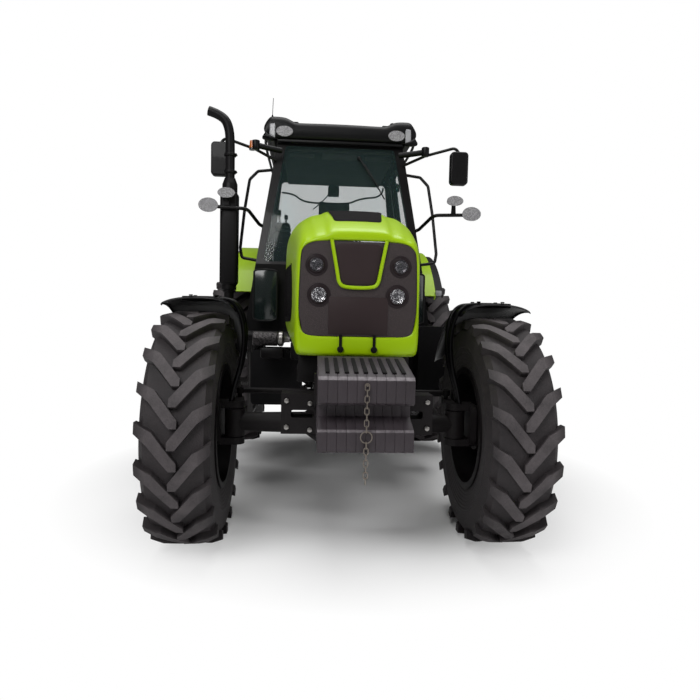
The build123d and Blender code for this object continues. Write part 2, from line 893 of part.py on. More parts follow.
def cab_block(inset, top_extra):
    """The cab's outer form, drawn in by the wall's thickness for its inside."""
    top = cab_top_z + top_extra
    with BuildPart() as block:
        with BuildSketch(side_plane(0)):
            with BuildLine():
                Polyline(
                    (windshield_foot_y + inset, cab_bottom_z - top_extra),
                    (windshield_foot_y + inset, windshield_foot_z),
                    (windshield_foot_y + inset + windshield_lean * (top - windshield_foot_z), top),
                    (cab_rear_y - inset - rear_window_lean * (top - rear_window_foot_z), top),
                    (cab_rear_y - inset, rear_window_foot_z),
                    (cab_rear_y - inset, cab_bottom_z - top_extra),
                    close=True,
                )
            make_face()
        extrude(amount=1000, both=True)
        split(bisect_by=cab_side.offset(-inset), keep=Keep.BOTTOM)
        split(bisect_by=mirrored_plane(cab_side.offset(-inset)), keep=Keep.BOTTOM)
    return block.part


def mirrored_plane(plane):
    origin, x_dir, z_dir = plane.origin, plane.x_dir, plane.z_dir
    return Plane(
        origin=(-origin.X, origin.Y, origin.Z),
        x_dir=(x_dir.X, -x_dir.Y, -x_dir.Z),
        z_dir=(-z_dir.X, z_dir.Y, z_dir.Z),
    )


door_front_y = front_axle_y + 1395
door_opening_points = (
    (door_front_y, cab_sill_z),
    (door_front_y, windshield_foot_z),
    (door_front_y + windshield_lean * (2825 - windshield_foot_z), 2825),
    (door_hinge_y, 2825),
    (door_hinge_y, 2010),
    (door_hinge_y - 300, 1985),
    (door_hinge_y - 400, 1855),
    (door_hinge_y - 535, 1640),
    (door_hinge_y - 580, cab_sill_z),
)


def door_outline(inset):
    with BuildSketch(cab_side) as outline:
        with BuildLine():
            Polyline(*(on_cab_side(y, z) for y, z in door_opening_points), close=True)
        make_face()
        if inset:
            offset(amount=-inset, kind=Kind.INTERSECTION)
    return outline.sketch


def quarter_window_outline(inset):
    with BuildSketch(cab_side) as outline:
        with BuildLine():
            Polyline(
                *(
                    on_cab_side(y, z)
                    for y, z in (
                        (door_hinge_y + 70, 2060),
                        (door_hinge_y + 70, 2825),
                        (cab_rear_y - 60 - rear_window_lean * 925, 2825),
                        (cab_rear_y - 60, 2060),
                    )
                ),
                close=True,
            )
        make_face()
        fillet(outline.vertices(), 40)
        if inset:
            offset(amount=-inset)
    return outline.sketch


def windshield_outline(inset):
    with BuildSketch(windshield_plane) as outline:
        with BuildLine():
            Polyline((-628, 25), (-470, 1078), (470, 1078), (628, 25), close=True)
        make_face()
        fillet(outline.vertices(), 30)
        if inset:
            offset(amount=-inset)
    return outline.sketch


def rear_window_outline(inset):
    with BuildSketch(rear_window_plane) as outline:
        with BuildLine():
            Polyline((-660, 60), (-560, 925), (560, 925), (660, 60), close=True)
        make_face()
        fillet(outline.vertices(), 40)
        if inset:
            offset(amount=-inset)
    return outline.sketch


hinge_radius = 11
hinge_pin_radius = 5
hinge_height = 36
hinge_y = door_hinge_y - moving_gap / 2
hinge_levels = (2140, 2660)
hinge_direction = cab_side.y_dir


def hinge_plane(z, lift):
    """Plane across the door's hinge axis, with its sketch axes rearwards and outwards."""
    along, up = on_cab_side(hinge_y, hinge_levels[0])
    climb = (z - hinge_levels[0]) / hinge_direction.Z + lift
    origin = cab_side.from_local_coords(Vector(along, up + climb, door_hinge_offset))
    return Plane(origin=origin, x_dir=cab_side.x_dir, z_dir=hinge_direction)


def hinge_leaf(z, lift, height, foot_along, pin):
    """Barrel on the hinge axis with its arm to the panel; foot_along is where the arm lands."""
    with BuildPart() as leaf:
        with BuildSketch(hinge_plane(z, lift)):
            Circle(hinge_radius)
            with BuildLine():
                Polyline(
                    (0, hinge_radius),
                    (0, -hinge_radius),
                    (foot_along + (28 if foot_along > 0 else -28), door_hinge_offset),
                    (foot_along, door_hinge_offset),
                    close=True,
                )
            make_face()
        extrude(amount=height)
        if pin:
            with BuildSketch(hinge_plane(z, lift)):
                Circle(hinge_pin_radius)
            extrude(amount=2 * height + 8)
        else:
            with BuildSketch(hinge_plane(z, lift)):
                Circle(hinge_pin_radius + running_fit)
            extrude(amount=height, mode=Mode.SUBTRACT)
    return leaf.part


cab_outside = cab_block(-seat_gap, 0)
leaves = [hinge_leaf(level, 0, hinge_height, 40, True) for level in hinge_levels]
leaves += [mirrored(leaf) for leaf in leaves]
with BuildPart() as hood_brackets:
    with BuildSketch(side_plane(hood_hinge_x)):
        Polygon(
            (windshield_foot_y + 1, 1690),
            (hood_hinge_y - hood_ear_radius, hood_hinge_z),
            (hood_hinge_y + hood_ear_radius, hood_hinge_z),
            (windshield_foot_y + 1, 1785),
            align=None,
        )
        with Locations((hood_hinge_y, hood_hinge_z)):
            Circle(hood_ear_radius)
    extrude(amount=hood_hinge_plate)
    with BuildSketch(side_plane(hood_hinge_x)):
        with Locations((hood_hinge_y, hood_hinge_z)):
            Circle(hood_pin_radius)
    extrude(amount=-hood_hinge_plate - 4)
    mirror(about=Plane.YZ)

with BuildPart() as cab_frame:
    add(cab_block(0, 0))
    add(cab_block(cab_wall, 100), mode=Mode.SUBTRACT)
    add(hood_brackets.part)
    with BuildSketch(side_plane(arch_x)):
        with Locations((rear_axle_y, rear_tyre_od / 2)):
            Circle(fender_radius + seat_gap)
    extrude(amount=300, mode=Mode.SUBTRACT)
    with BuildSketch(side_plane(-arch_x)):
        with Locations((rear_axle_y, rear_tyre_od / 2)):
            Circle(fender_radius + seat_gap)
    extrude(amount=-300, mode=Mode.SUBTRACT)
    for side in (-1, 1):
        with BuildSketch(side_plane(side * arch_x)):
            with BuildLine():
                Polyline(
                    (front_axle_y + 1700, cab_bottom_z),
                    (front_axle_y + 1700, 1330),
                    (front_axle_y + 2000, 1700),
                    (cab_rear_y - 1, 1850),
                    (cab_rear_y - 1, cab_bottom_z),
                    close=True,
                )
            make_face()
        extrude(amount=-side * arch_plate)
    for outline in (door_outline(0), quarter_window_outline(0)):
        extrude(outline, amount=120, both=True, mode=Mode.SUBTRACT)
        extrude(mirrored(outline), amount=120, both=True, mode=Mode.SUBTRACT)
    for outline in (windshield_outline(0), rear_window_outline(0)):
        extrude(outline, amount=4, mode=Mode.SUBTRACT)
        extrude(outline, amount=-90, mode=Mode.SUBTRACT)
    add(leaves)
write_piece(cab_frame.part, "cab_frame")

with BuildPart() as cab_glass:
    for outline in (windshield_outline, rear_window_outline, quarter_window_outline):
        extrude(outline(seat_gap), amount=-glass_thickness)
    mirror(about=Plane.YZ)
write_piece(cab_glass.part, "cab_glass")

door_thickness = 40
door_rail = 42
with BuildPart() as door_left:
    extrude(door_outline(moving_gap), amount=-door_thickness)
    extrude(door_outline(moving_gap + door_rail), amount=100, both=True, mode=Mode.SUBTRACT)
    for level in hinge_levels:
        add(hinge_leaf(level, hinge_height + seat_gap, hinge_height, -40, False))
write_piece(door_left.part, "door_left")
write_piece(mirrored(door_left.part), "door_right")

with BuildPart() as door_glass_left:
    extrude(door_outline(moving_gap + door_rail + seat_gap), amount=-glass_thickness)
write_piece(door_glass_left.part, "door_glass_left")
write_piece(mirrored(door_glass_left.part), "door_glass_right")

# Cab floor with the raised platform under the seat
platform_top_z = 1430
platform_front_y = front_axle_y + 2120
with BuildPart() as cab_floor:
    with BuildSketch(side_plane(0)):
        with BuildLine():
            Polyline(
                (windshield_foot_y + cab_wall + seat_gap, cab_bottom_z),
                (windshield_foot_y + cab_wall + seat_gap, cab_floor_z),
                (platform_front_y, cab_floor_z),
                (platform_front_y + 60, platform_top_z),
                (cab_rear_y - cab_wall - seat_gap, platform_top_z),
                (cab_rear_y - cab_wall - seat_gap, cab_bottom_z),
                close=True,
            )
        make_face()
    extrude(amount=arch_x - arch_plate - seat_gap, both=True)
    add(cab_block(cab_wall + seat_gap, 100), mode=Mode.INTERSECT)
write_piece(cab_floor.part, "cab_floor")

# Roof: a deep moulded cap with a raised block at each front corner and lifting eyes
roof_half_width = 665
roof_front_y = front_axle_y + 1490
roof_rear_y = front_axle_y + 3030
roof_top_z = 3085
with BuildPart() as roof:
    with BuildSketch(Plane.XY.offset(cab_top_z)) as roof_plan:
        with Locations((0, (roof_front_y + roof_rear_y) / 2)):
            RectangleRounded(2 * roof_half_width, roof_rear_y - roof_front_y, 120)
    extrude(amount=roof_top_z - cab_top_z, taper=7)
    for side in (-1, 1):
        with BuildSketch(Plane.XY.offset(roof_top_z - 20)):
            with Locations((side * 500, front_axle_y + 1720)):
                RectangleRounded(210, 320, 50)
        extrude(amount=48, taper=20)
    for side in (-1, 1):
        with BuildSketch(front_plane(front_axle_y + 1820)):
            with Locations((side * 486, 3135)):
                Circle(30)
                Circle(17, mode=Mode.SUBTRACT)
        extrude(amount=14)
write_piece(roof.part, "roof")

# Seat: pedestal and the two padded cushions
seat_y = front_axle_y + 2420
with BuildPart() as seat_base:
    with BuildSketch(Plane.XY.offset(platform_top_z)):
        with Locations((0, seat_y)):
            RectangleRounded(330, 360, 40)
    extrude(amount=190)
    with BuildSketch(Plane.XY.offset(platform_top_z + 190)):
        with Locations((0, seat_y)):
            RectangleRounded(450, 470, 60)
    extrude(amount=40)
    with BuildSketch(side_plane(0)):
        with BuildLine():
            Polyline(
                (seat_y + 235, platform_top_z + 200),
                (seat_y + 290, platform_top_z + 820),
                (seat_y + 320, platform_top_z + 820),
                (seat_y + 270, platform_top_z + 190),
                (seat_y + 200, platform_top_z + 190),
                close=True,
            )
        make_face()
    extrude(amount=190, both=True)
write_piece(seat_base.part, "seat_base")

cushion_bottom_z = platform_top_z + 230 + seat_gap


def seat_back_y(z):
    """Front of the leaning back plate at this height."""
    return seat_y + 235 + 55 * (z - platform_top_z - 200) / 620


with BuildPart() as seat_cushions:
    with BuildSketch(Plane.XY.offset(cushion_bottom_z)):
        with Locations((0, seat_y - 20)):
            RectangleRounded(500, 450, 70)
    extrude(amount=110)
    with BuildSketch(side_plane(0)):
        with BuildLine():
            Polyline(
                (seat_back_y(cushion_bottom_z + 130) - seat_gap, cushion_bottom_z + 130),
                (seat_back_y(cushion_bottom_z + 700) - seat_gap, cushion_bottom_z + 700),
                (seat_back_y(cushion_bottom_z + 690) - 95, cushion_bottom_z + 690),
                (seat_back_y(cushion_bottom_z + 130) - 105, cushion_bottom_z + 130),
                close=True,
            )
        make_face()
    extrude(amount=230, both=True)
write_piece(seat_cushions.part, "seat_cushions")

# Dash and steering column; the wheel turns on the column's end
column_foot = Vector(0, windshield_foot_y + 150, cab_floor_z)
column_top = Vector(0, front_axle_y + 1790, 2075)
column_direction = (column_top - column_foot).normalized()
steering_wheel_radius = 200
steering_rim_radius = 14
column_shaft_radius = 12
spoke_middle = steering_wheel_radius / 2
column_plane = Plane(origin=column_top, x_dir=(1, 0, 0), z_dir=column_direction)
with BuildPart() as dash:
    with BuildSketch(Plane.XY.offset(cab_floor_z)):
        with Locations((0, windshield_foot_y + 165)):
            RectangleRounded(300, 200, 40)
    with BuildSketch(Plane(origin=(0, front_axle_y + 1500, 1950), z_dir=(0, -0.35, 1))):
        RectangleRounded(420, 300, 60)
    loft()
    with BuildSketch(column_plane.offset(-350)):
        Circle(45)
    extrude(amount=330)
    with BuildSketch(column_plane.offset(-60)):
        Circle(column_shaft_radius)
    extrude(amount=95)
write_piece(dash.part, "dash")

with BuildPart() as steering_wheel:
    with BuildSketch(column_plane.offset(0)):
        Circle(38)
    extrude(amount=45)
    with BuildSketch(column_plane):
        Circle(column_shaft_radius + running_fit)
    extrude(amount=36, mode=Mode.SUBTRACT)
    with BuildSketch(Plane(origin=column_plane.origin, x_dir=(1, 0, 0), z_dir=column_plane.y_dir)):
        with Locations((steering_wheel_radius - steering_rim_radius, -28)):
            RegularPolygon(steering_rim_radius, 8)
    revolve(axis=Axis(column_plane.origin, column_plane.z_dir))
    with BuildSketch(column_plane.offset(18)):
        for angle in (90, 210, 330):
            with Locations(
                (spoke_middle * cos(radians(angle)), spoke_middle * sin(radians(angle)))
            ):
                Rectangle(steering_wheel_radius - 50, 26, rotation=angle)
    extrude(amount=12)
write_piece(steering_wheel.part, "steering_wheel")

# Rear fenders: green sheets over the rear tyres, with a black flare along the outer edge
fender_start = 36
fender_end = 132
fender_centre = (rear_axle_y, rear_tyre_od / 2)


def arch_sector(inner, outer, start, end, x, width):
    """Curved sheet round the rear axle between two angles, counted up from straight ahead."""
    with BuildPart() as sector:
        with BuildSketch(side_plane(x)):
            with Locations(fender_centre):
                Circle(outer)
                Circle(inner, mode=Mode.SUBTRACT)
            with BuildLine():
                reach = 2 * outer
                corners = [fender_centre]
                for step in range(5):
                    angle = radians(start + (end - start) * step / 4)
                    corners.append(
                        (fender_centre[0] - reach * cos(angle), fender_centre[1] + reach * sin(angle))
                    )
                Polyline(*corners, close=True)
            make_face(mode=Mode.INTERSECT)
        extrude(amount=width)
    return sector.part


with BuildPart() as rear_fenders:
    sheet = arch_sector(
        fender_radius - fender_sheet, fender_radius, fender_start, fender_end,
        fender_inner_x, fender_outer_x - fender_inner_x,
    )
    lip = arch_sector(
        fender_radius - 60, fender_radius, fender_start, fender_end, fender_outer_x - 10, 10
    )
    add([sheet, lip])
    add([mirrored(sheet), mirrored(lip)])
write_piece(rear_fenders.part, "rear_fenders")

with BuildPart() as fender_flares:
    flare = arch_sector(
        fender_radius - 50, fender_radius - 38, fender_start + 2, fender_end - 4,
        fender_outer_x + seat_gap, flare_outer_x - fender_outer_x - seat_gap,
    )
    flare_lip = arch_sector(
        fender_radius - 80, fender_radius - 38, fender_start + 2, fender_end - 4, flare_outer_x - 10, 10
    )
    add([flare, flare_lip])
    add([mirrored(flare), mirrored(flare_lip)])
write_piece(fender_flares.part, "fender_flares")

# Exhaust: an elbow from the engine, a silencer in its heat shield and a pipe that bends outwards
exhaust_x = -895
exhaust_y = front_axle_y + 1190
exhaust_feed_z = 1215
silencer_bottom_z = 1580
silencer_top_z = 2420
silencer_radius = 60
pipe_radius = 36
pipe_tip = (-1075, 3010)


def tube(points, radii, radius):
    """Round bar or pipe of straight runs joined by arcs."""
    with BuildPart() as bar:
        with BuildLine() as route:
            FilletPolyline(*points, radius=radii)
        with BuildSketch(Plane(origin=route.line @ 0, z_dir=route.line % 0)):
            Circle(radius)
        sweep(path=route.line)
    return bar.part


with BuildPart() as exhaust:
    add(
        tube(
            (
                (-engine_half_width - seat_gap, exhaust_y - 55, exhaust_feed_z),
                (-420, exhaust_y - 55, exhaust_feed_z),
                (-640, exhaust_y, exhaust_feed_z),
                (exhaust_x, exhaust_y, exhaust_feed_z),
                (exhaust_x, exhaust_y, silencer_bottom_z + 20),
            ),
            (90, 90, 110),
            40,
        )
    )
    with BuildSketch(Plane.XY.offset(silencer_bottom_z)):
        with Locations((exhaust_x, exhaust_y)):
            Circle(silencer_radius)
    extrude(amount=silencer_top_z - silencer_bottom_z)
    with BuildSketch(Plane.XY.offset(silencer_bottom_z + 40)):
        with Locations((exhaust_x, exhaust_y)):
            RectangleRounded(137, 150, 45)
    extrude(amount=silencer_top_z - silencer_bottom_z - 110)
    with BuildSketch(Plane.XY.offset(silencer_top_z)):
        with Locations((exhaust_x, exhaust_y)):
            Circle(silencer_radius)
    with BuildSketch(Plane.XY.offset(silencer_top_z + 50)):
        with Locations((exhaust_x, exhaust_y)):
            Circle(pipe_radius)
    loft()
    add(
        tube(
            (
                (exhaust_x, exhaust_y, silencer_top_z + 40),
                (exhaust_x, exhaust_y, 2850),
                (pipe_tip[0] - 30, exhaust_y, pipe_tip[1] + 40),
            ),
            150,
            pipe_radius,
        )
    )
    with BuildSketch(front_plane(exhaust_y - 100)):
        with Locations((pipe_tip[0] - 60, pipe_tip[1])):
            Rectangle(100, 300, rotation=-22)
    extrude(amount=-200, mode=Mode.SUBTRACT)
write_piece(exhaust.part, "exhaust")

# Mirrors: heads on bent tube arms from a block on each front post
mirror_head_width = 150
mirror_head_height = 272
mirror_x = 985
mirror_y = front_axle_y + 1290
mirror_z = 2640
mirror_arm_radius = 12
post_top_x = 560
with BuildPart() as mirrors:
    with BuildSketch(front_plane(mirror_y - 35)) as head_outline:
        with Locations((mirror_x, mirror_z)):
            RectangleRounded(mirror_head_width, mirror_head_height, 32)
    extrude(amount=-58)
    fillet(mirrors.faces().sort_by(Axis.Y)[0].edges(), 14)
    add(
        tube(
            (
                (post_top_x - 10, front_axle_y + 1490, 2700),
                (720, front_axle_y + 1400, 2765),
                (mirror_x - 30, mirror_y + 10, 2815),
                (mirror_x + 20, mirror_y, mirror_z + 100),
            ),
            45,
            mirror_arm_radius,
        )
    )
    add(cab_outside, mode=Mode.SUBTRACT)
    mirror(about=Plane.YZ)
write_piece(mirrors.part, "mirrors")

# Work lamp arms: bent tubes from each front post with a lamp at the end and one on a bracket
lamp_arm_radius = 14
arm_lamp_x = 1041
arm_lamp_y = front_axle_y + 1040
arm_lamp_z = 2227
arm_lamp_depth = 31
upper_arm_lamp_x = 904
upper_arm_lamp_z = 2326
upper_lamp_depth = 46
arm_line_y = arm_lamp_y + upper_lamp_depth + seat_gap + 6
with BuildPart() as lamp_arms:
    add(
        tube(
            (
                (620, front_axle_y + 1380, 2110),
                (668, front_axle_y + 1310, 2130),
                (745, arm_line_y, 2215),
                (arm_lamp_x + 8, arm_line_y, arm_lamp_z),
            ),
            (20, 60),
            lamp_arm_radius,
        )
    )
    with BuildSketch(front_plane(arm_line_y)):
        with BuildLine():
            Polyline(
                (upper_arm_lamp_x - 20, arm_lamp_z),
                (upper_arm_lamp_x - 14, upper_arm_lamp_z + 10),
                (upper_arm_lamp_x + 14, upper_arm_lamp_z + 10),
                (upper_arm_lamp_x + 20, arm_lamp_z),
                close=True,
            )
        make_face()
    extrude(amount=6)
    with BuildSketch(front_plane(arm_line_y)):
        with Locations((arm_lamp_x, arm_lamp_z)):
            Circle(11)
    extrude(amount=arm_line_y - arm_lamp_y - arm_lamp_depth - seat_gap)
    add(cab_outside, mode=Mode.SUBTRACT)
    mirror(about=Plane.YZ)
write_piece(lamp_arms.part, "lamp_arms")


def oval_lamp(x, y, z, width, height, depth):
    """Oval lamp with a tapered housing behind its lens; a negative depth faces it rearwards."""
    with BuildPart() as lamp:
        with BuildSketch(front_plane(y + depth)):
            with Locations((x, z)):
                Ellipse(width / 2 - 0.2 * abs(depth), height / 2 - 0.2 * abs(depth))
        with BuildSketch(front_plane(y)):
            with Locations((x, z)):
                Ellipse(width / 2, height / 2)
        loft()
    return lamp.part


# Work lamps: ovals on the arms, in the roof's front corners and at its rear
roof_lamp_x = 480
roof_lamp_z = 2945
front_roof_lamp = oval_lamp(roof_lamp_x, roof_front_y - 16, roof_lamp_z, 142, 88, 40)
rear_roof_lamp = oval_lamp(roof_lamp_x, roof_rear_y + 16, roof_lamp_z, 142, 88, -40)
with BuildPart() as work_lamps:
    add(oval_lamp(arm_lamp_x, arm_lamp_y, arm_lamp_z, 152, 112, arm_lamp_depth))
    add(oval_lamp(upper_arm_lamp_x, arm_lamp_y, upper_arm_lamp_z, 134, 80, upper_lamp_depth))
    add(front_roof_lamp - roof.part.translate((0, -seat_gap, 0)))
    add(rear_roof_lamp - roof.part.translate((0, seat_gap, 0)))
    mirror(about=Plane.YZ)
write_piece(work_lamps.part, "work_lamps")

# Beacon with its base and the whip antenna, on the right front post
beacon_x = -735
beacon_y = front_axle_y + 1330
beacon_z = 2740
with BuildPart() as beacon:
    add(
        tube(
            (
                (-530, front_axle_y + 1545, 2812),
                (-640, front_axle_y + 1440, 2812),
                (beacon_x, beacon_y, beacon_z + 8),
            ),
            30,
            9,
        )
    )
    with BuildSketch(Plane.XY.offset(beacon_z - 4)):
        with Locations((beacon_x, beacon_y)):
            Circle(26)
    extrude(amount=26)
    with BuildSketch(Plane.XY.offset(beacon_z + 22)):
        with Locations((beacon_x, beacon_y)):
            Circle(24)
    extrude(amount=48, taper=4)
    add(cab_outside, mode=Mode.SUBTRACT)
write_piece(beacon.part, "beacon")

# Grab rails beside the doors
rail_radius = 12.5


def beside_windshield(z, offset):
    return windshield_foot_y + windshield_lean * max(z - windshield_foot_z, 0) + offset


with BuildPart() as grab_rails:
    add(
        tube(
            tuple(
                (x, beside_windshield(z, 38), z)
                for x, z in (
                    (560, 2625),
                    (700, 2607),
                    (768, 2530),
                    (800, 2260),
                    (822, 1930),
                    (806, 1850),
                    (680, 1830),
                )
            ),
            (30, 50, 60, 60, 30),
            rail_radius,
        )
    )
    add(cab_outside, mode=Mode.SUBTRACT)
    mirror(about=Plane.YZ)
write_piece(grab_rails.part, "grab_rails")

# Left side: fuel tank below the door; right side: battery box. Each carries a set of steps
tank_top_z = 1120
tank_bottom_z = 640
tank_inner_x = 300
tank_outer_x = 700
tank_front_y = front_axle_y + 1100
tank_rear_y = front_axle_y + 1960
with BuildPart() as fuel_tank:
    with BuildSketch(front_plane(tank_rear_y)) as tank_outline:
        with BuildLine():
            Polyline(
                (tank_inner_x, tank_bottom_z),
                (tank_inner_x, tank_top_z),
                (tank_outer_x, tank_top_z),
                (tank_outer_x, tank_bottom_z),
                close=True,
            )
        make_face()
        fillet(tank_outline.vertices(), 60)
    extrude(amount=tank_rear_y - tank_front_y)
    with BuildSketch(side_plane(rear_body_half + seat_gap)):
        with Locations((tank_front_y + 200, 950), (tank_front_y + 650, 950)):
            Rectangle(60, 140)
    extrude(amount=tank_inner_x + 5 - rear_body_half)
write_piece(fuel_tank.part, "fuel_tank")

with BuildPart() as battery_box:
    with BuildSketch(front_plane(tank_front_y + 520)):
        with Locations((-(tank_inner_x + tank_outer_x) / 2, 880)):
            RectangleRounded(tank_outer_x - tank_inner_x, 440, 30)
    extrude(amount=520)
    with BuildSketch(front_plane(tank_front_y + 860)):
        with Locations((-500, 920)):
            Circle(150)
    extrude(amount=340 - seat_gap)
    with BuildSketch(side_plane(-tank_inner_x - 5)):
        with Locations((tank_front_y + 150, 950), (tank_front_y + 400, 950)):
            Rectangle(60, 140)
    extrude(amount=tank_inner_x + 5 - rear_body_half - seat_gap)
write_piece(battery_box.part, "battery_box")

side_box_depth = 235
with BuildPart() as side_box:
    with BuildSketch(front_plane(tank_front_y - seat_gap)):
        with Locations((722, 1049)):
            RectangleRounded(226, 546, 30)
    extrude(amount=side_box_depth)
write_piece(side_box.part, "side_box")

step_levels = (520, 780, 1040)
step_front_y = door_front_y + 10
step_length = 360
with BuildPart() as steps:
    for level in step_levels:
        with BuildSketch(Plane.XY.offset(level)):
            with Locations((tank_outer_x + 130, step_front_y + step_length / 2)):
                RectangleRounded(230, step_length, 20)
        extrude(amount=28)
    for rail_y in (step_front_y - 10, step_front_y + step_length - 2):
        with BuildSketch(front_plane(rail_y + 12)):
            with BuildLine():
                Polyline(
                    (tank_outer_x + seat_gap, 1160),
                    (tank_outer_x + 245, 1160),
                    (tank_outer_x + 245, 500),
                    (tank_outer_x + 205, 500),
                    (tank_outer_x + 205, 1110),
                    (tank_outer_x + 55, 1110),
                    (tank_outer_x + 55, 500),
                    (tank_outer_x + 15, 500),
                    (tank_outer_x + seat_gap, 700),
                    close=True,
                )
            make_face()
        extrude(amount=12)
    mirror(about=Plane.YZ)
write_piece(steps.part, "steps")

# Rear linkage. Lift arm, lift rod and lower link form a parallelogram, so the rods stay parallel
link_pivot_y = rear_axle_y - 60
link_pivot_z = 600
link_x = 260
link_ball_x = 480
link_length_y = rear_end_y - 45 - link_pivot_y
lift_pivot_y = link_pivot_y + 210
lift_pivot_z = 1230
link_half_height = 38
link_thickness = 24
ball_radius = 45
ball_bore_radius = 18.7
pivot_pin_radius = 19
lift_pin_radius = 15
rod_foot_y = link_pivot_y + lift_arm_length
rod_foot_z = link_pivot_z - linkage_drop * lift_arm_length
rod_head_y = lift_pivot_y + lift_arm_length
rod_head_z = lift_pivot_z - linkage_drop * lift_arm_length
link_ball_y = link_pivot_y + link_length_y
link_ball_z = link_pivot_z - linkage_drop * link_length_y
rod_x = link_x + 62

link_plane = Plane(
    origin=(link_x, link_pivot_y, link_pivot_z), x_dir=(0, 1, -linkage_drop), z_dir=(1, 0, 0)
)
with BuildPart() as lower_links:
    with BuildSketch(Plane.XY.offset(link_pivot_z - 400)):
        with BuildLine():
            Polyline(
                (link_x - link_thickness / 2, link_pivot_y),
                (link_x + link_thickness / 2, link_pivot_y),
                (link_x + link_thickness / 2, link_pivot_y + 1.15 * lift_arm_length),
                (link_ball_x + link_thickness / 2, link_ball_y - 150),
                (link_ball_x + link_thickness / 2, link_ball_y),
                (link_ball_x - link_thickness / 2, link_ball_y),
                (link_ball_x - link_thickness / 2, link_ball_y - 140),
                (link_x - link_thickness / 2, link_pivot_y + 1.19 * lift_arm_length),
                close=True,
            )
        make_face()
    extrude(amount=700)
    with BuildSketch(link_plane):
        with Locations((700, 0)):
            Rectangle(3000, 2 * link_half_height - 6)
    extrude(amount=900, both=True, mode=Mode.INTERSECT)
    with BuildSketch(side_plane(link_x - link_thickness / 2)):
        with Locations((link_pivot_y, link_pivot_z), (rod_foot_y, rod_foot_z)):
            Circle(link_half_height + 4)
    extrude(amount=link_thickness)
    with BuildSketch(side_plane(link_ball_x - 22.5)):
        with Locations((link_ball_y, link_ball_z)):
            Circle(ball_radius)
    extrude(amount=45)
    with BuildSketch(side_plane(link_ball_x - 40)):
        with Locations((link_ball_y, link_ball_z)):
            Circle(ball_bore_radius)
    extrude(amount=80, mode=Mode.SUBTRACT)
    with BuildSketch(side_plane(link_x - 30)):
        with Locations((link_pivot_y, link_pivot_z)):
            Circle(pivot_pin_radius + running_fit)
    extrude(amount=60, mode=Mode.SUBTRACT)
    with BuildSketch(side_plane(link_x)):
        with Locations((rod_foot_y, rod_foot_z)):
            Circle(lift_pin_radius)
    extrude(amount=rod_x + 14 - link_x)
    mirror(about=Plane.YZ)
write_piece(lower_links.part, "lower_links")

with BuildPart() as lift_arms:
    with BuildSketch(side_plane(-rod_x + 14)):
        with Locations((lift_pivot_y, lift_pivot_z)):
            Circle(34)
    extrude(amount=2 * rod_x - 28)
    arm_plane = Plane(
        origin=(rod_x - 70, lift_pivot_y, lift_pivot_z), x_dir=(0, 1, -linkage_drop), z_dir=(1, 0, 0)
    )
    with BuildSketch(arm_plane):
        with BuildLine():
            arm_end = lift_arm_length * sqrt(1 + linkage_drop**2)
            Polyline((-10, -58), (-10, 58), (arm_end, 30), (arm_end, -30), close=True)
        make_face()
        Circle(62)
        with Locations((arm_end, 0)):
            Circle(34)
    extrude(amount=38)
    with BuildSketch(side_plane(rod_x - 40)):
        with Locations((rod_head_y, rod_head_z)):
            Circle(lift_pin_radius)
    extrude(amount=54)
    mirror(about=Plane.YZ)
write_piece(lift_arms.part, "lift_arms")

with BuildPart() as lift_rods:
    with BuildSketch(side_plane(rod_x - 12)):
        with Locations((rod_head_y, rod_head_z), (rod_foot_y, rod_foot_z)):
            Circle(34)
    extrude(amount=24)
    rod_start = Vector(rod_x, rod_head_y, rod_head_z)
    rod_end = Vector(rod_x, rod_foot_y, rod_foot_z)
    with BuildSketch(Plane(origin=rod_start, z_dir=rod_end - rod_start)):
        Circle(14)
    extrude(amount=(rod_end - rod_start).length)
    with BuildSketch(Plane(origin=rod_start + (rod_end - rod_start) * 0.3, z_dir=rod_end - rod_start)):
        Circle(24)
    extrude(amount=(rod_end - rod_start).length * 0.35)
    with BuildSketch(side_plane(rod_x - 30)):
        with Locations((rod_head_y, rod_head_z), (rod_foot_y, rod_foot_z)):
            Circle(lift_pin_radius + running_fit)
    extrude(amount=60, mode=Mode.SUBTRACT)
    mirror(about=Plane.YZ)
write_piece(lift_rods.part, "lift_rods")

# Hitch carrier: the plates behind the rear body that hold the pivots, the drawbar and the top link
hitch_plate_y = rear_body_end_y
with BuildPart() as hitch_frame:
    for side in (-1, 1):
        inner = rear_body_half + seat_gap
        with BuildSketch(side_plane(side * inner)):
            with BuildLine():
                Polyline(
                    (link_pivot_y - 120, link_pivot_z - 70),
                    (link_pivot_y - 120, link_pivot_z + 120),
                    (link_pivot_y + 40, lift_pivot_z - 160),
                    (lift_pivot_y - 75, lift_pivot_z - 60),
                    (lift_pivot_y - 75, lift_pivot_z + 75),
                    (lift_pivot_y + 75, lift_pivot_z + 75),
                    (hitch_plate_y - 60, lift_pivot_z - 120),
                    (hitch_plate_y - 60, link_pivot_z + 120),
                    (link_pivot_y + 80, link_pivot_z - 70),
                    close=True,
                )
            make_face()
            with Locations((lift_pivot_y, lift_pivot_z)):
                Circle(34 + running_fit, mode=Mode.SUBTRACT)
            with Locations((rear_axle_y, rear_tyre_od / 2)):
                Circle(hub_housing_radius + seat_gap, mode=Mode.SUBTRACT)
        extrude(amount=side * 22)
        with BuildSketch(side_plane(side * inner)):
            with Locations((link_pivot_y, link_pivot_z)):
                Circle(pivot_pin_radius)
        extrude(amount=side * (link_x + link_thickness / 2 + 14 - inner))
write_piece(hitch_frame.part, "hitch_frame")

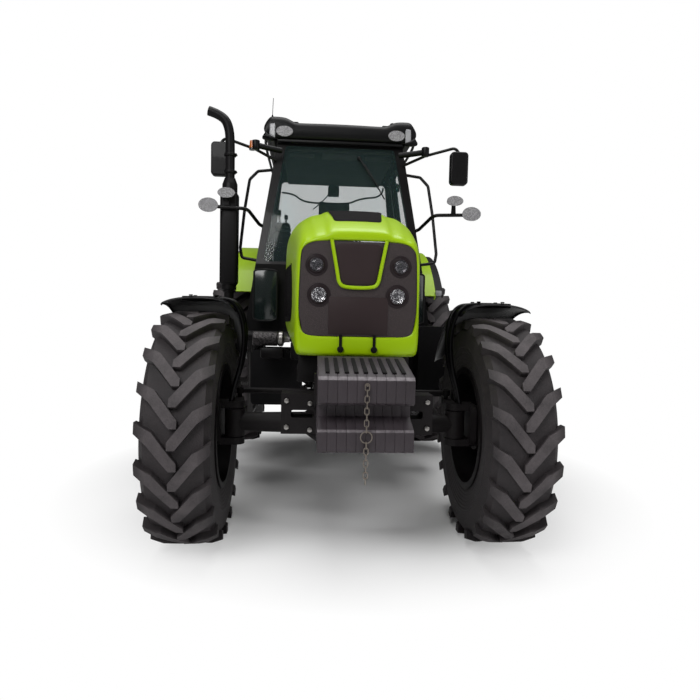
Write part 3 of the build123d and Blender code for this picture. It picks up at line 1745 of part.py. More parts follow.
# Top link, stowed upright against the rear body
top_link_y = rear_body_end_y + 40
with BuildPart() as top_link:
    with BuildSketch(front_plane(top_link_y + 20)):
        with Locations((0, 1010)):
            RectangleRounded(90, 100, 12)
    extrude(amount=20 + 40 - seat_gap)
    with BuildSketch(Plane.XY.offset(1040)):
        with Locations((0, top_link_y)):
            Circle(16)
    extrude(amount=560)
    with BuildSketch(Plane.XY.offset(1180)):
        with Locations((0, top_link_y)):
            Circle(26)
    extrude(amount=260)
    with BuildSketch(side_plane(-25.5)):
        with Locations((top_link_y, 1620)):
            Circle(42)
    extrude(amount=51)
    with BuildSketch(side_plane(-40)):
        with Locations((top_link_y, 1620)):
            Circle(15.9)
    extrude(amount=80, mode=Mode.SUBTRACT)
write_piece(top_link.part, "top_link")

# Drawbar: a swinging bar below the rear body with its pin hole
drawbar_z = 480
drawbar_pin_radius = 16.5
drawbar_thickness = 45
drawbar_pin_y = rear_axle_y + 700
with BuildPart() as drawbar:
    with BuildSketch(Plane.XY.offset(drawbar_z - drawbar_thickness / 2)):
        with Locations((0, (rear_axle_y - 250 + drawbar_pin_y + 60) / 2)):
            RectangleRounded(90, drawbar_pin_y + 60 - rear_axle_y + 250, 40)
        with Locations((0, drawbar_pin_y)):
            Circle(drawbar_pin_radius, mode=Mode.SUBTRACT)
    extrude(amount=drawbar_thickness)
    with BuildSketch(front_plane(rear_axle_y + 250)):
        with BuildLine():
            Polyline(
                (-120, rear_body_bottom_z - seat_gap),
                (120, rear_body_bottom_z - seat_gap),
                (90, drawbar_z - 50),
                (-90, drawbar_z - 50),
                close=True,
            )
        make_face()
    extrude(amount=60)
write_piece(drawbar.part, "drawbar")

# Power take-off shaft at the rear, with its guard
pto_z = 720
pto_radius = 17.4
pto_length = 90
with BuildPart() as pto_shaft:
    with BuildSketch(front_plane(rear_body_end_y + seat_gap)):
        with Locations((0, pto_z)):
            Circle(60)
    extrude(amount=-25)
    with BuildSketch(front_plane(rear_body_end_y + 20)):
        with Locations((0, pto_z)):
            Circle(pto_radius)
    extrude(amount=-pto_length)
write_piece(pto_shaft.part, "pto_shaft")
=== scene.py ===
import math

import bpy
from mathutils import Matrix, Vector


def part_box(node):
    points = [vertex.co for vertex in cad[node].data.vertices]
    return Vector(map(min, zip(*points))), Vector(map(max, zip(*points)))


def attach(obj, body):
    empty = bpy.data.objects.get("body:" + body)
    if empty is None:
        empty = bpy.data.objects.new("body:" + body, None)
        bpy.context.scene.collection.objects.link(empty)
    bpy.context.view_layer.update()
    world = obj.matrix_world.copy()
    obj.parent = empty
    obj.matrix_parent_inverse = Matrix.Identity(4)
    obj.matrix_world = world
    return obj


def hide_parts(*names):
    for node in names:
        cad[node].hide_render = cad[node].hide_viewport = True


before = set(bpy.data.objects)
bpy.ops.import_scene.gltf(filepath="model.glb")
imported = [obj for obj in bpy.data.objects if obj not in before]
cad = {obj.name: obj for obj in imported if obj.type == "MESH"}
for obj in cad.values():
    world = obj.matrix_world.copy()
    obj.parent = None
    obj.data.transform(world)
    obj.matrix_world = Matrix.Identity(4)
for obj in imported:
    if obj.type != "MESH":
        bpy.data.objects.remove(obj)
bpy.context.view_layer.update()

# Studio: the camera stands low before the tractor's right front wheel, as for the photograph.
# The pale floor keeps the shadow near the tractor and runs out to pure white further off.
# One lamp stands above the camera, one fills from the left and one hangs overhead.
camera = bpy.data.objects.new("photo_camera", bpy.data.cameras.new("photo_camera"))
bpy.context.scene.collection.objects.link(camera)
camera_place = (-0.2466, -4.9369, 1.3927)
camera_right = Vector((0.99730, -0.06986, 0.02263))
camera_up = Vector((-0.01846, 0.05978, 0.99804))
camera.matrix_world = Matrix.Translation(camera_place) @ Matrix(
    (camera_right, camera_up, camera_right.cross(camera_up))
).transposed().to_4x4()
camera.data.lens = 30.29
camera.data.sensor_width = 36
bpy.context.scene.camera = camera
bpy.context.scene.view_settings.view_transform = "Standard"


class Amount:
    """A shader value that can be used in ordinary sums."""

    def __init__(self, finish, socket):
        self.finish = finish
        self.socket = socket

    def sum_with(self, operation, first, second=0.0):
        return self.finish.node("ShaderNodeMath", {"operation": operation}, {0: first, 1: second})

    def __add__(self, other):
        return self.sum_with("ADD", self, other)

    def __sub__(self, other):
        return self.sum_with("SUBTRACT", self, other)

    def __rsub__(self, other):
        return self.sum_with("SUBTRACT", other, self)

    def __mul__(self, other):
        return self.sum_with("MULTIPLY", self, other)

    def __truediv__(self, other):
        return self.sum_with("DIVIDE", self, other)

    def __pow__(self, other):
        return self.sum_with("POWER", self, other)

    def __gt__(self, other):
        return self.sum_with("GREATER_THAN", self, other)

    def __lt__(self, other):
        return self.sum_with("LESS_THAN", self, other)

    __radd__ = __add__
    __rmul__ = __mul__


class Finish:
    """One surface finish, built round a single shader."""

    def __init__(self, name, base, roughness=0.5, metallic=0.0, coat=0.0, alpha=1.0):
        self.material = bpy.data.materials.new(name)
        self.material.use_nodes = True
        self.tree = self.material.node_tree
        self.shader = self.tree.nodes["Principled BSDF"]
        for socket_name, value in (("Base Color", base), ("Roughness", roughness), ("Metallic", metallic),
                                   ("Coat Weight", coat), ("Alpha", alpha)):
            self.set(socket_name, value)

    def node(self, kind, settings=None, inputs=None, take=0):
        made = self.tree.nodes.new(kind)
        for key, value in (settings or {}).items():
            setattr(made, key, value)
        for key, value in (inputs or {}).items():
            self.join(value, made.inputs[key])
        return Amount(self, made.outputs[take])

    def join(self, value, socket):
        if isinstance(value, Amount):
            self.tree.links.new(value.socket, socket)
        else:
            socket.default_value = value

    def set(self, socket_name, value):
        self.join(value, self.shader.inputs[socket_name])

    def axes(self):
        place = self.node("ShaderNodeTexCoord", take="Object")
        return [self.node("ShaderNodeSeparateXYZ", None, {0: place}, axis) for axis in range(3)]

    def noise(self, scale, detail=3.0, rough=0.5):
        place = self.node("ShaderNodeTexCoord", take="Object")
        return self.node("ShaderNodeTexNoise", None,
                         {"Vector": place, "Scale": scale, "Detail": detail, "Roughness": rough})

    def cells(self, scale):
        place = self.node("ShaderNodeTexCoord", take="Object")
        return self.node("ShaderNodeTexVoronoi", None, {"Vector": place, "Scale": scale})

    def wave(self, value):
        return self.node("ShaderNodeMath", {"operation": "SINE"}, {0: value})

    def between(self, factor, first, second):
        return self.node("ShaderNodeMix", {"data_type": "RGBA"}, {0: factor, 6: first, 7: second}, 2)

    def limited(self, value, low, high):
        return self.node("ShaderNodeMapRange", None, {"Value": value, "From Min": low, "From Max": high})

    def bump(self, height, depth):
        self.set("Normal", self.node("ShaderNodeBump", None, {"Height": height, "Distance": depth}))


shadow_x, shadow_y, shadow_radius, white_radius = 0.15, 0.20, 1.4, 2.5
bpy.ops.object.select_all(action="DESELECT")
bpy.ops.mesh.primitive_plane_add(size=80)
floor = bpy.context.object
floor.name = "studio_floor"
floor_finish = Finish("floor_white", (0.90, 0.90, 0.90, 1), 0.9)
east, north, _ = floor_finish.axes()
away = floor_finish.limited(((east - shadow_x) ** 2.0 * 1.1 + (north - shadow_y) ** 2.0) ** 0.5,
                            shadow_radius, white_radius)
ray = floor_finish.node("ShaderNodeLightPath", take="Is Camera Ray")
glow = floor_finish.node("ShaderNodeEmission", None, {"Color": (1, 1, 1, 1), "Strength": 1.0})
mixed = floor_finish.node("ShaderNodeMixShader", None, {
    0: away * ray, 1: Amount(floor_finish, floor_finish.shader.outputs[0]), 2: glow})
floor_finish.join(mixed, floor_finish.tree.nodes["Material Output"].inputs["Surface"])
floor.data.materials.append(floor_finish.material)

world = bpy.data.worlds.new("white_studio")
bpy.context.scene.world = world
world.use_nodes = True
sky = world.node_tree.nodes["Background"]
sky.inputs["Color"].default_value = (1, 1, 1, 1)
rays = world.node_tree.nodes.new("ShaderNodeLightPath")
level = world.node_tree.nodes.new("ShaderNodeMapRange")
level.inputs["To Min"].default_value = 0.18  # light on the tractor, where the camera itself sees 1
seen = world.node_tree.nodes.new("ShaderNodeMath")
seen.operation = "MAXIMUM"
world.node_tree.links.new(rays.outputs["Is Camera Ray"], seen.inputs[0])
world.node_tree.links.new(rays.outputs["Is Transmission Ray"], seen.inputs[1])
world.node_tree.links.new(seen.outputs[0], level.inputs["Value"])
world.node_tree.links.new(level.outputs[0], sky.inputs["Strength"])

for lamp_name, place, aim, size, power in (
    ("key_lamp", (-3.2, -7.0, 6.5), (0, -1.0, 1.4), 4.0, 400),
    ("fill_lamp", (5.5, -5.5, 3.5), (0, -0.5, 1.2), 4.0, 110),
    ("top_lamp", (0.5, 0.0, 8.5), (0, 0.0, 1.0), 5.0, 400),
):
    lamp = bpy.data.objects.new(lamp_name, bpy.data.lights.new(lamp_name, "AREA"))
    bpy.context.scene.collection.objects.link(lamp)
    lamp.location = place
    lamp.data.size = size
    lamp.data.energy = power
    lamp.rotation_euler = (Vector(aim) - Vector(place)).to_track_quat("-Z", "Y").to_euler()

# Tyres: black rubber moulded in one piece, brownish with field dust and worn paler on the lug tops.
# Fine rings run round the side walls where the mould was turned.
FRONT_AXLE_Y, REAR_AXLE_Y = -1.280, 1.642
FRONT_TYRE_RADIUS, REAR_TYRE_RADIUS = 0.700, 0.8825


def colour(red, green, blue):
    """Shader colour of a finish known by its 0 to 255 screen values."""
    return tuple(((c / 255 + 0.055) / 1.055) ** 2.4 if c > 10 else c / 3294.6 for c in (red, green, blue)) + (1,)


def dress(material, *names):
    """Gives nodes of the CAD model their finish."""
    for name in names:
        for material_slot in cad[name].material_slots:
            material_slot.material = material


def rubber(name, axle_y, radius, bead_radius):
    """Rubber of a tyre, paler towards the tops of its lugs and ringed inside the bead radius."""
    finish = Finish(name, colour(40, 34, 37), 0.7)
    _, along, up = finish.axes()
    out = ((along - axle_y) ** 2.0 + (up - radius) ** 2.0) ** 0.5
    coarse = finish.noise(9.0, 5.0, 0.65)
    fine = finish.noise(120.0, 4.0, 0.7)
    lug_top = finish.limited(out, radius - 0.02, radius - 0.004)
    dust = finish.limited(coarse * 0.8 + fine * 0.3, 0.35, 0.8)
    body = finish.between(dust, colour(27, 23, 25), colour(50, 44, 46))
    finish.set("Base Color", finish.between(lug_top * (0.15 + dust * 0.65), body, colour(90, 84, 86)))
    finish.set("Roughness", coarse * 0.2 + 0.6)
    rings = finish.wave(out * 300.0) * (out < bead_radius)
    finish.bump(rings * 0.5 + fine * 0.9, 0.002)
    return finish.material


dress(rubber("front_rubber", FRONT_AXLE_Y, FRONT_TYRE_RADIUS, 0.52), "front_tyre_left", "front_tyre_right")
dress(rubber("rear_rubber", REAR_AXLE_Y, REAR_TYRE_RADIUS, 0.66), "rear_tyre_left", "rear_tyre_right")

# Rims: pressed steel discs in black paint, held to the hubs by rings of plated studs and nuts.
# Each wheel also has a hub cap turned from bar.
NUTS_PER_WHEEL = 8


def painted(name, base, roughness, coat=0.0, dust=0.25, grain=0.0002, metallic=0.0, shine=0.16):
    """Paint or moulded plastic: a little uneven in tone, with a fine grain and some dust."""
    finish = Finish(name, base, roughness, metallic, coat)
    finish.set("Specular IOR Level", shine)
    cloudy = finish.noise(2.6, 4.0, 0.6)
    darker = tuple(c * (1 - dust) for c in base[:3]) + (1,)
    paler = tuple(min(c * (1 + dust), 1) for c in base[:3]) + (1,)
    finish.set("Base Color", finish.between(cloudy, darker, paler))
    finish.set("Roughness", cloudy * 0.16 + (roughness - 0.08))
    finish.bump(finish.noise(170.0, 3.0, 0.6), grain)
    return finish.material


rim_black = painted("rim_black", colour(16, 13, 14), 0.45)
plated_steel = painted("plated_steel", colour(150, 147, 144), 0.34, metallic=0.9, grain=0.0001)
dress(rim_black, "front_rim_left", "front_rim_right", "rear_rim_left", "rear_rim_right")


def held(*pieces):
    """Leaves only these pieces selected, the first of them active."""
    bpy.ops.object.select_all(action="DESELECT")
    for piece in pieces:
        piece.select_set(True)
    bpy.context.view_layer.objects.active = pieces[0]
    return pieces[0]


def applied(piece):
    """Places the piece in its mesh and applies its modifiers."""
    held(piece)
    bpy.ops.object.transform_apply(location=True, rotation=True, scale=True)
    for modifier in list(piece.modifiers):
        bpy.ops.object.modifier_apply(modifier=modifier.name)
    return piece


def turned_stub(centre, direction, radius, length, sides=24, edge=0.002):
    """Round or hexagonal stub on a line, with its rims broken by a bevel."""
    bpy.ops.object.select_all(action="DESELECT")
    bpy.ops.mesh.primitive_cylinder_add(vertices=sides, radius=radius, depth=length, location=centre)
    stub = bpy.context.object
    stub.rotation_euler = Vector(direction).to_track_quat("Z", "Y").to_euler()
    rim = stub.modifiers.new("rim", "BEVEL")
    rim.width = edge
    rim.segments = 2
    return applied(stub)


def finished(name, pieces, material, body, smooth=35):
    """Joins the parts of a piece and gives it its finish, its body and its soft edges."""
    piece = held(*pieces)
    if len(pieces) > 1:
        bpy.ops.object.join()
    bpy.ops.object.transform_apply(location=True, rotation=True, scale=True)
    bpy.ops.object.shade_smooth_by_angle(angle=math.radians(smooth))
    piece.name = name
    piece.data.materials.clear()
    piece.data.materials.append(material)
    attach(piece, body)
    return piece


for side, side_name in ((1, "left"), (-1, "right")):
    for wheel, face_x, axle_y, axle_z, circle, hub in (
        ("front_wheel", 0.948, FRONT_AXLE_Y, FRONT_TYRE_RADIUS, 0.118, 0.075),
        ("rear_wheel", 1.030, REAR_AXLE_Y, REAR_TYRE_RADIUS, 0.185, 0.11),
    ):
        fixings = [turned_stub((side * (face_x + 0.03), axle_y, axle_z), (side, 0, 0), hub, 0.05, 32, 0.01)]
        for i in range(NUTS_PER_WHEEL):
            turn = 2 * math.pi * (i + 0.5) / NUTS_PER_WHEEL
            place = (side * face_x, axle_y + circle * math.cos(turn), axle_z + circle * math.sin(turn))
            fixings.append(turned_stub(place, (side, 0, 0), 0.017, 0.03, 6))
            fixings.append(turned_stub(place, (side, 0, 0), 0.009, 0.05, 12, 0.001))
        finished(f"{wheel}_nuts_{side_name}", fixings, plated_steel, f"{wheel}_{side_name}")

# Front frame, axle and knuckles: castings in satin black, dulled by dust.
# The engine, gearbox and rear axle housings carry the same paint.
casting_black = painted("casting_black", colour(24, 21, 22), 0.55, dust=0.35, grain=0.0008)
dress(casting_black, "front_support", "front_axle", "knuckle_left", "knuckle_right", "engine", "transmission",
      "hitch_frame", "lift_arms", "drawbar", "tie_rod")

# Front weights: ten grey iron castings side by side on the bar.
# Each has a sloping top, a deep grip across its face and a lower block below that, and near-black plates between them
# paint the shade of the hand slots.
iron = Finish("weight_iron", colour(50, 44, 48), 0.55)
iron.set("Specular IOR Level", 0.35)
height = iron.axes()[2]
# Painted highlights: lighter bands, broken up by noise, are painted along the upper and lower front edges of the
# castings where the light catches them.
upper_highlight_band = (height > 1.1265) * (height < 1.1395)
lower_highlight_band = (height > 0.9085) * (height < 0.9180)
painted_edge_highlight = (upper_highlight_band + lower_highlight_band) * iron.noise(60.0)
iron.set("Base Color", iron.between(painted_edge_highlight * 1.3, iron.between(iron.noise(5.0), colour(38, 33, 36), colour(60, 53, 58)),
                                    colour(120, 114, 118)))
iron.set("Roughness", iron.noise(12.0) * 0.2 + 0.42)
iron.bump(iron.noise(170.0), 0.0012)
weight_low, weight_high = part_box("front_weights")
WEIGHT_COUNT = 10
weight_pitch = (weight_high[0] - weight_low[0]) / WEIGHT_COUNT


def outline_plate(points, low_x, high_x):
    """Plate between two upright planes, from its outline of (y, z) points."""
    bpy.ops.object.select_all(action="DESELECT")
    bpy.ops.mesh.primitive_circle_add(vertices=len(points), fill_type="NGON", rotation=(0, math.pi / 2, 0))
    plate = bpy.context.object
    bpy.ops.object.transform_apply(location=True, rotation=True, scale=True)
    for vertex, (y, z) in zip(plate.data.vertices, points):
        vertex.co = (low_x, y, z)
    bpy.ops.object.mode_set(mode="EDIT")
    bpy.ops.mesh.select_all(action="SELECT")
    bpy.ops.mesh.extrude_region_move(TRANSFORM_OT_translate={"value": (high_x - low_x, 0, 0)})
    bpy.ops.mesh.select_all(action="SELECT")
    bpy.ops.mesh.normals_make_consistent(inside=False)
    bpy.ops.object.mode_set(mode="OBJECT")
    return plate


def eased(piece, width, segments=2):
    """Bevels the sharp edges of a piece."""
    edge = piece.modifiers.new("edge", "BEVEL")
    edge.width = width
    edge.segments = segments
    edge.limit_method = "ANGLE"
    return applied(piece)


plate_front, plate_back = weight_low[1], weight_high[1] - 0.045
plate_outline = (
    (plate_front, 1.125), (plate_front + 0.02, 1.141), (plate_back - 0.06, 1.196), (plate_back, 1.200),
    (plate_back, 0.830), (plate_front + 0.02, 0.820), (plate_front, 0.824), (plate_front, 0.906),
    (plate_front + 0.012, 0.920), (plate_front + 0.115, 0.958), (plate_front + 0.115, 1.006),
    (plate_front + 0.02, 1.020), (plate_front, 1.032),
)
# Painted shade: near-black plates stand in the joints between castings and just break through the sloping tops, dark
# where the hand slots' shade would be.
slot_outline = ((plate_front + 0.055, 1.1555), (plate_back - 0.065, 1.1972), (plate_back - 0.065, 1.170),
                (plate_front + 0.055, 1.130))
half_joint, half_slot = 0.0002, 0.0085
castings, slots = [], []
for i in range(WEIGHT_COUNT):
    low_x = weight_low[0] + i * weight_pitch
    high_x = low_x + weight_pitch
    castings.append(eased(outline_plate(plate_outline, low_x + half_joint, high_x - half_joint), 0.0022))
    if i < WEIGHT_COUNT - 1:
        slots.append(outline_plate(slot_outline, high_x - half_slot, high_x + half_slot))
weights = finished("weight_castings", castings, iron.material, "chassis", 30)
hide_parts("front_weights")
# Near-black finish of the painted slot shade.
slot_shade_black = painted("slot_shade_black", colour(9, 8, 9), 0.7)
finished("weight_slot_shade", slots, slot_shade_black, "chassis")

# Chain: welded steel links with a lifting ring, and a tail with its pin below the ring.
# It hangs down the face of the weights.
chain_steel = painted("chain_steel", colour(128, 120, 112), 0.42, dust=0.45, grain=0.0004, metallic=0.8)
dress(chain_steel, "weight_chain")

# Front fenders: thin black moulded sheets over the tyres, crowned across and rolled down at the outer edge.
# Each is held by two bent tube stays bolted to its knuckle.
fender_black = painted("fender_black", colour(9, 8, 10), 0.3, coat=0.05, dust=0.3, grain=0.0001, shine=0.1)


def skin(rows, joined_sides=False):
    """Sheet through rows of points, all with the same number of points."""
    bpy.ops.object.select_all(action="DESELECT")
    bpy.ops.mesh.primitive_grid_add(x_subdivisions=len(rows[0]) - 1, y_subdivisions=len(rows) - 1)
    sheet = bpy.context.object
    for vertex, point in zip(sheet.data.vertices, (point for row in rows for point in row)):
        vertex.co = point
    if joined_sides:
        bpy.ops.object.mode_set(mode="EDIT")
        bpy.ops.mesh.select_all(action="SELECT")
        bpy.ops.mesh.remove_doubles(threshold=0.00005)
        bpy.ops.mesh.normals_make_consistent(inside=False)
        bpy.ops.object.mode_set(mode="OBJECT")
    return sheet


def walled(sheet, wall, offset=-1.0, rounds=2):
    """Gives a sheet its wall and smooths its run."""
    thick = sheet.modifiers.new("wall", "SOLIDIFY")
    thick.thickness = wall
    thick.offset = offset
    smooth = sheet.modifiers.new("smooth", "SUBSURF")
    smooth.levels = smooth.render_levels = rounds
    return applied(sheet)


def tube(points, radius, sides=4):
    """Bent tube through points, with closed ends."""
    route = bpy.data.curves.new("route", "CURVE")
    route.dimensions = "3D"
    route.bevel_depth = radius
    route.bevel_resolution = sides
    route.use_fill_caps = True
    route.resolution_u = 8
    spline = route.splines.new("NURBS")
    spline.points.add(len(points) - 1)
    for control, point in zip(spline.points, points):
        control.co = (*point, 1)
    spline.order_u = 3
    spline.use_endpoint_u = True
    piece = bpy.data.objects.new("tube", route)
    bpy.context.scene.collection.objects.link(piece)
    held(piece)
    bpy.ops.object.convert(target="MESH")
    bpy.ops.object.mode_set(mode="EDIT")
    bpy.ops.mesh.select_all(action="SELECT")
    bpy.ops.mesh.remove_doubles(threshold=0.00005)
    bpy.ops.mesh.normals_make_consistent(inside=False)
    bpy.ops.object.mode_set(mode="OBJECT")
    return bpy.context.object


FENDER_RADIUS = 0.792
fender_section = ((0.676, -0.085), (0.690, -0.052), (0.725, -0.022), (0.790, -0.003), (0.880, 0.0),
                  (0.970, -0.002), (1.050, -0.012), (1.105, -0.027), (1.136, -0.044), (1.136, -0.056))
FENDER_STEPS, FENDER_FIRST_ANGLE, FENDER_SWEEP = 11, -11, 71
for side, side_name in ((1, "left"), (-1, "right")):
    rows = []
    for step in range(FENDER_STEPS + 1):
        turn = math.radians(FENDER_FIRST_ANGLE + FENDER_SWEEP * step / FENDER_STEPS)
        tip = 0.03 * max(0, 1 - step) + 0.05 * max(0, step - 10)  # both ends narrow outside
        rows.append([
            (side * (x - tip * (x > 1.0)), FRONT_AXLE_Y + (FENDER_RADIUS + drop) * math.sin(turn),
             FRONT_TYRE_RADIUS + (FENDER_RADIUS + drop) * math.cos(turn))
            for x, drop in fender_section
        ])
    parts = [walled(skin(rows[::side]), 0.007, -1.0)]
    for stay_y in (-0.070, 0.070):
        top_z = FRONT_TYRE_RADIUS + FENDER_RADIUS - 0.012
        parts.append(tube([(side * x, FRONT_AXLE_Y + y, z) for x, y, z in (
            (0.714, stay_y * 0.5, 0.790), (0.714, stay_y * 0.5, 0.880), (0.640, stay_y * 0.6, 1.120),
            (0.632, stay_y * 0.8, 1.330), (0.690, stay_y, top_z - 0.015), (0.800, stay_y, top_z),
            (1.000, stay_y, top_z - 0.006))], 0.014))
        for bolt_x in (0.80, 0.95):
            parts.append(turned_stub((side * bolt_x, FRONT_AXLE_Y + stay_y, top_z + 0.014), (0, 0, 1),
                                     0.012, 0.008, 20, 0.003))
    sheet = finished(f"front_fender_sheet_{side_name}", parts, fender_black, f"knuckle_{side_name}",
                     45)
    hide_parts(f"front_fender_{side_name}")

# Hood: one pressed skin in glossy lime green, drawn round the grille at the nose and folded along its shoulders.
# It is hung on two ears under its rear edge, and its underside is open over the engine.
lime_paint = painted("lime_paint", colour(152, 188, 4), 0.36, coat=0.10, dust=0.05, grain=0.00002, shine=0.22)


def hood_half(half, bottom, shoulder, top_half, top, out=0.0):
    """Half section of the hood, from the middle of its lower edge over the shoulder to its raised middle."""
    dome = top_half * 0.70
    side_x = half + out
    rise = shoulder - bottom
    return [
        (0, bottom - out), (side_x * 0.55, bottom - out), (side_x - 0.022, bottom - out),
        (side_x, bottom + 0.022), (side_x, bottom + 0.3 * rise), (side_x, bottom + 0.7 * rise),
        (side_x - 0.003, shoulder - 0.045), (side_x - 0.016, shoulder + 0.004),
        ((side_x + top_half) / 2 + 0.016, shoulder + 0.52 * (top - shoulder) + out),
        (top_half + 0.034, top - 0.022 + out), (top_half + 0.006, top - 0.004 + out),
        (dome + 0.016, top + 0.002 + out), (dome, top + 0.022 + out), (dome * 0.5, top + 0.025 + out),
        (0, top + 0.026 + out),
    ]


def whole(half_points, y):
    """Ring of points made from one half and its mirror image."""
    right = [(-x, y, z) for x, z in half_points]
    left = [(x, y, z) for x, z in half_points[-2::-1]]
    return right + left


hood_sections = (  # y, half width, bottom, shoulder, half width of the top, top
    (-1.942, 0.318, 1.184, 1.748, 0.212, 1.812), (-1.890, 0.323, 1.184, 1.770, 0.215, 1.842),
    (-1.750, 0.331, 1.193, 1.816, 0.222, 1.902), (-1.580, 0.342, 1.205, 1.860, 0.228, 1.955),
    (-1.360, 0.361, 1.224, 1.893, 0.237, 1.990), (-1.130, 0.382, 1.245, 1.915, 0.245, 2.012),
    (-0.680, 0.410, 1.265, 1.940, 0.257, 2.043), (-0.300, 0.430, 1.282, 1.957, 0.266, 2.062),
    (-0.112, 0.437, 1.289, 1.964, 0.270, 2.070),
)
mouth = [(0, 1.286), (0.16, 1.286), (0.258, 1.288), (0.291, 1.318), (0.299, 1.45), (0.299, 1.60), (0.297, 1.672),
         (0.286, 1.716), (0.262, 1.744), (0.225, 1.757), (0.190, 1.761), (0.168, 1.762),
         (0.148, 1.766), (0.08, 1.768), (0, 1.768)]
nose = [
    whole(mouth, -1.950), whole(mouth, -1.974), whole([(x * 1.012, z + (z - 1.52) * 0.012) for x, z in mouth], -1.983),
    whole(hood_half(0.296, 1.206, 1.728, 0.205, 1.778), -1.984),
    whole(hood_half(0.309, 1.192, 1.738, 0.209, 1.792), -1.974),
]
body_rows = [whole(hood_half(*sizes), y) for y, *sizes in hood_sections]
shell = skin(nose + body_rows)
# The faces across its underside come out, between the nose and the rear edge.
held(shell)
bpy.context.tool_settings.mesh_select_mode = (False, False, True)
for part in (shell.data.vertices, shell.data.edges):
    part.foreach_set("select", [False] * len(part))
for face in shell.data.polygons:
    face.select = face.center.y > -1.93 and abs(face.normal.z) > 0.9 and face.center.z < 1.31
bpy.ops.object.mode_set(mode="EDIT")
bpy.ops.mesh.delete(type="FACE")
bpy.ops.mesh.select_mode(type="VERT")
bpy.ops.mesh.select_all(action="SELECT")
bpy.ops.mesh.remove_doubles(threshold=0.0001)
bpy.ops.mesh.normals_make_consistent(inside=False)
bpy.ops.object.mode_set(mode="OBJECT")
hood_parts = [walled(shell, 0.006, -1.0)]
for ear_x in (0.1500, -0.1625):
    hood_parts.append(eased(outline_plate(
        ((-0.152, 2.010), (-0.180, 2.064), (-0.105, 2.066), (-0.108, 2.010), (-0.115, 1.995), (-0.130, 1.988),
         (-0.145, 1.995)), ear_x, ear_x + 0.0115), 0.001))
hood_skin = finished("hood_skin", hood_parts, lime_paint, "hood", 50)
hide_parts("hood")

# Hood vents: black moulded inserts, one in the top with a mesh and one slatted in each side.
# They clip into the skin and stand a few millimetres proud.
vent_finish = Finish("vent_mesh", colour(20, 18, 19), 0.7)
vent_finish.set("Specular IOR Level", 0.05)
cells = vent_finish.cells(150.0)
vent_finish.set("Base Color", vent_finish.between(
    vent_finish.limited(cells, 0.25, 0.6), colour(5, 4, 5), colour(24, 22, 23)))
vent_finish.bump(cells, 0.002)


def section_at(y):
    """Sizes of the hood at a place between its sections."""
    for (near_y, *near), (far_y, *far) in zip(hood_sections, hood_sections[1:]):
        if near_y <= y <= far_y:
            share = (y - near_y) / (far_y - near_y)
            return [a + (b - a) * share for a, b in zip(near, far)]
    return hood_sections[-1][1:]


top_rows = []
for step in range(7):
    y = -1.862 + 0.322 * step / 6
    reach = 0.124 + 0.034 * step / 6
    top = section_at(y)[4]
    top_rows.append([(reach * across / 4, y, top + 0.0262 - 0.0035 * (abs(across) / 4) ** 2)
                     for across in range(-4, 5)])
vent_parts = [walled(skin(top_rows), 0.006, 0.0, 1)]
for side in (1, -1):
    side_rows = []
    for step in range(13):
        y = -1.600 + 1.200 * step / 12
        low = 1.42 - 0.02 * step / 12 - (0.07 if 0 < step else 0)
        high = 1.52 + (0.16 if 0 < step else 0) + 0.05 * step / 12
        x = section_at(y)[0] + 0.002
        side_rows.append([(side * x, y, low + (high - low) * rise / 4) for rise in range(5)])
    vent_parts.append(walled(skin(side_rows[::side]), 0.005, 0.0, 1))
    for slat in range(9):
        y = -1.50 + 0.125 * slat
        vent_parts.append(eased(outline_plate(
            ((y, 1.375), (y + 0.012, 1.375), (y + 0.047, 1.69), (y + 0.035, 1.69)),
            side * (section_at(y)[0] + 0.004) - 0.004, side * (section_at(y)[0] + 0.004) + 0.004), 0.002))
vents = finished("hood_vent_inserts", vent_parts, vent_finish.material, "hood")
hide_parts("hood_vents")

# Grille: a dark panel of fine mesh in the mouth of the hood, with a bare plate below its middle.
# A green loop of trim frames the bare badge place, and two rubber straps latch the chin.
grille_finish = Finish("grille_mesh", colour(52, 43, 44), 0.5)
holes = grille_finish.cells(260.0)
grille_finish.set("Base Color", grille_finish.between(
    grille_finish.limited(holes, 0.3, 0.7), colour(34, 25, 26), colour(52, 41, 42)))
grille_finish.bump(holes, 0.0008)
dress(grille_finish.material, "grille_panel")
panel_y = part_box("grille_panel")[0][1]
plate_grey = painted("plate_grey", colour(48, 38, 39), 0.5, grain=0.0004)


def block(low, high, edge=0.003):
    """Squared piece between two corners, with broken edges."""
    bpy.ops.object.select_all(action="DESELECT")
    size = [far - near for near, far in zip(low, high)]
    middle = [(near + far) / 2 for near, far in zip(low, high)]
    bpy.ops.mesh.primitive_cube_add(size=1, location=middle, scale=size)
    bpy.ops.object.transform_apply(location=True, rotation=True, scale=True)
    return eased(bpy.context.object, edge) if edge else bpy.context.object


finished("bare_plate", [block((-0.148, panel_y - 0.004, 1.297), (0.152, panel_y + 0.002, 1.486), 0.002)],
         plate_grey, "hood")
trim_y = panel_y - 0.010
finished("badge_trim", [tube([(x, trim_y, z) for x, z in (
    (-0.138, 1.768), (-0.134, 1.745), (-0.108, 1.610), (-0.098, 1.548), (-0.062, 1.532), (0.062, 1.532),
    (0.098, 1.548), (0.108, 1.610), (0.134, 1.745), (0.138, 1.768))], 0.0095)],
         lime_paint, "hood", 60)
badge_rows = [[(x * (0.123 - 0.033 * drop / 5), panel_y - 0.003, 1.752 - 0.205 * drop / 5)
               for x in (-1, -0.5, 0, 0.5, 1)] for drop in range(6)]
finished("badge_field", [walled(skin(badge_rows), 0.004, 0.0, 1)], plate_grey, "hood")
strap_rubber = painted("strap_rubber", colour(10, 9, 10), 0.6)
strap_x, strap_y = 0.085, -1.986
straps = []
for side in (1, -1):
    straps.append(tube([(side * strap_x, strap_y, z) for z in (1.296, 1.270, 1.245, 1.224)], 0.0075))
    straps.append(turned_stub((side * strap_x, strap_y, 1.222), (0, 1, 0), 0.0165, 0.018, 24, 0.003))
finished("latch_straps", straps, strap_rubber, "hood")

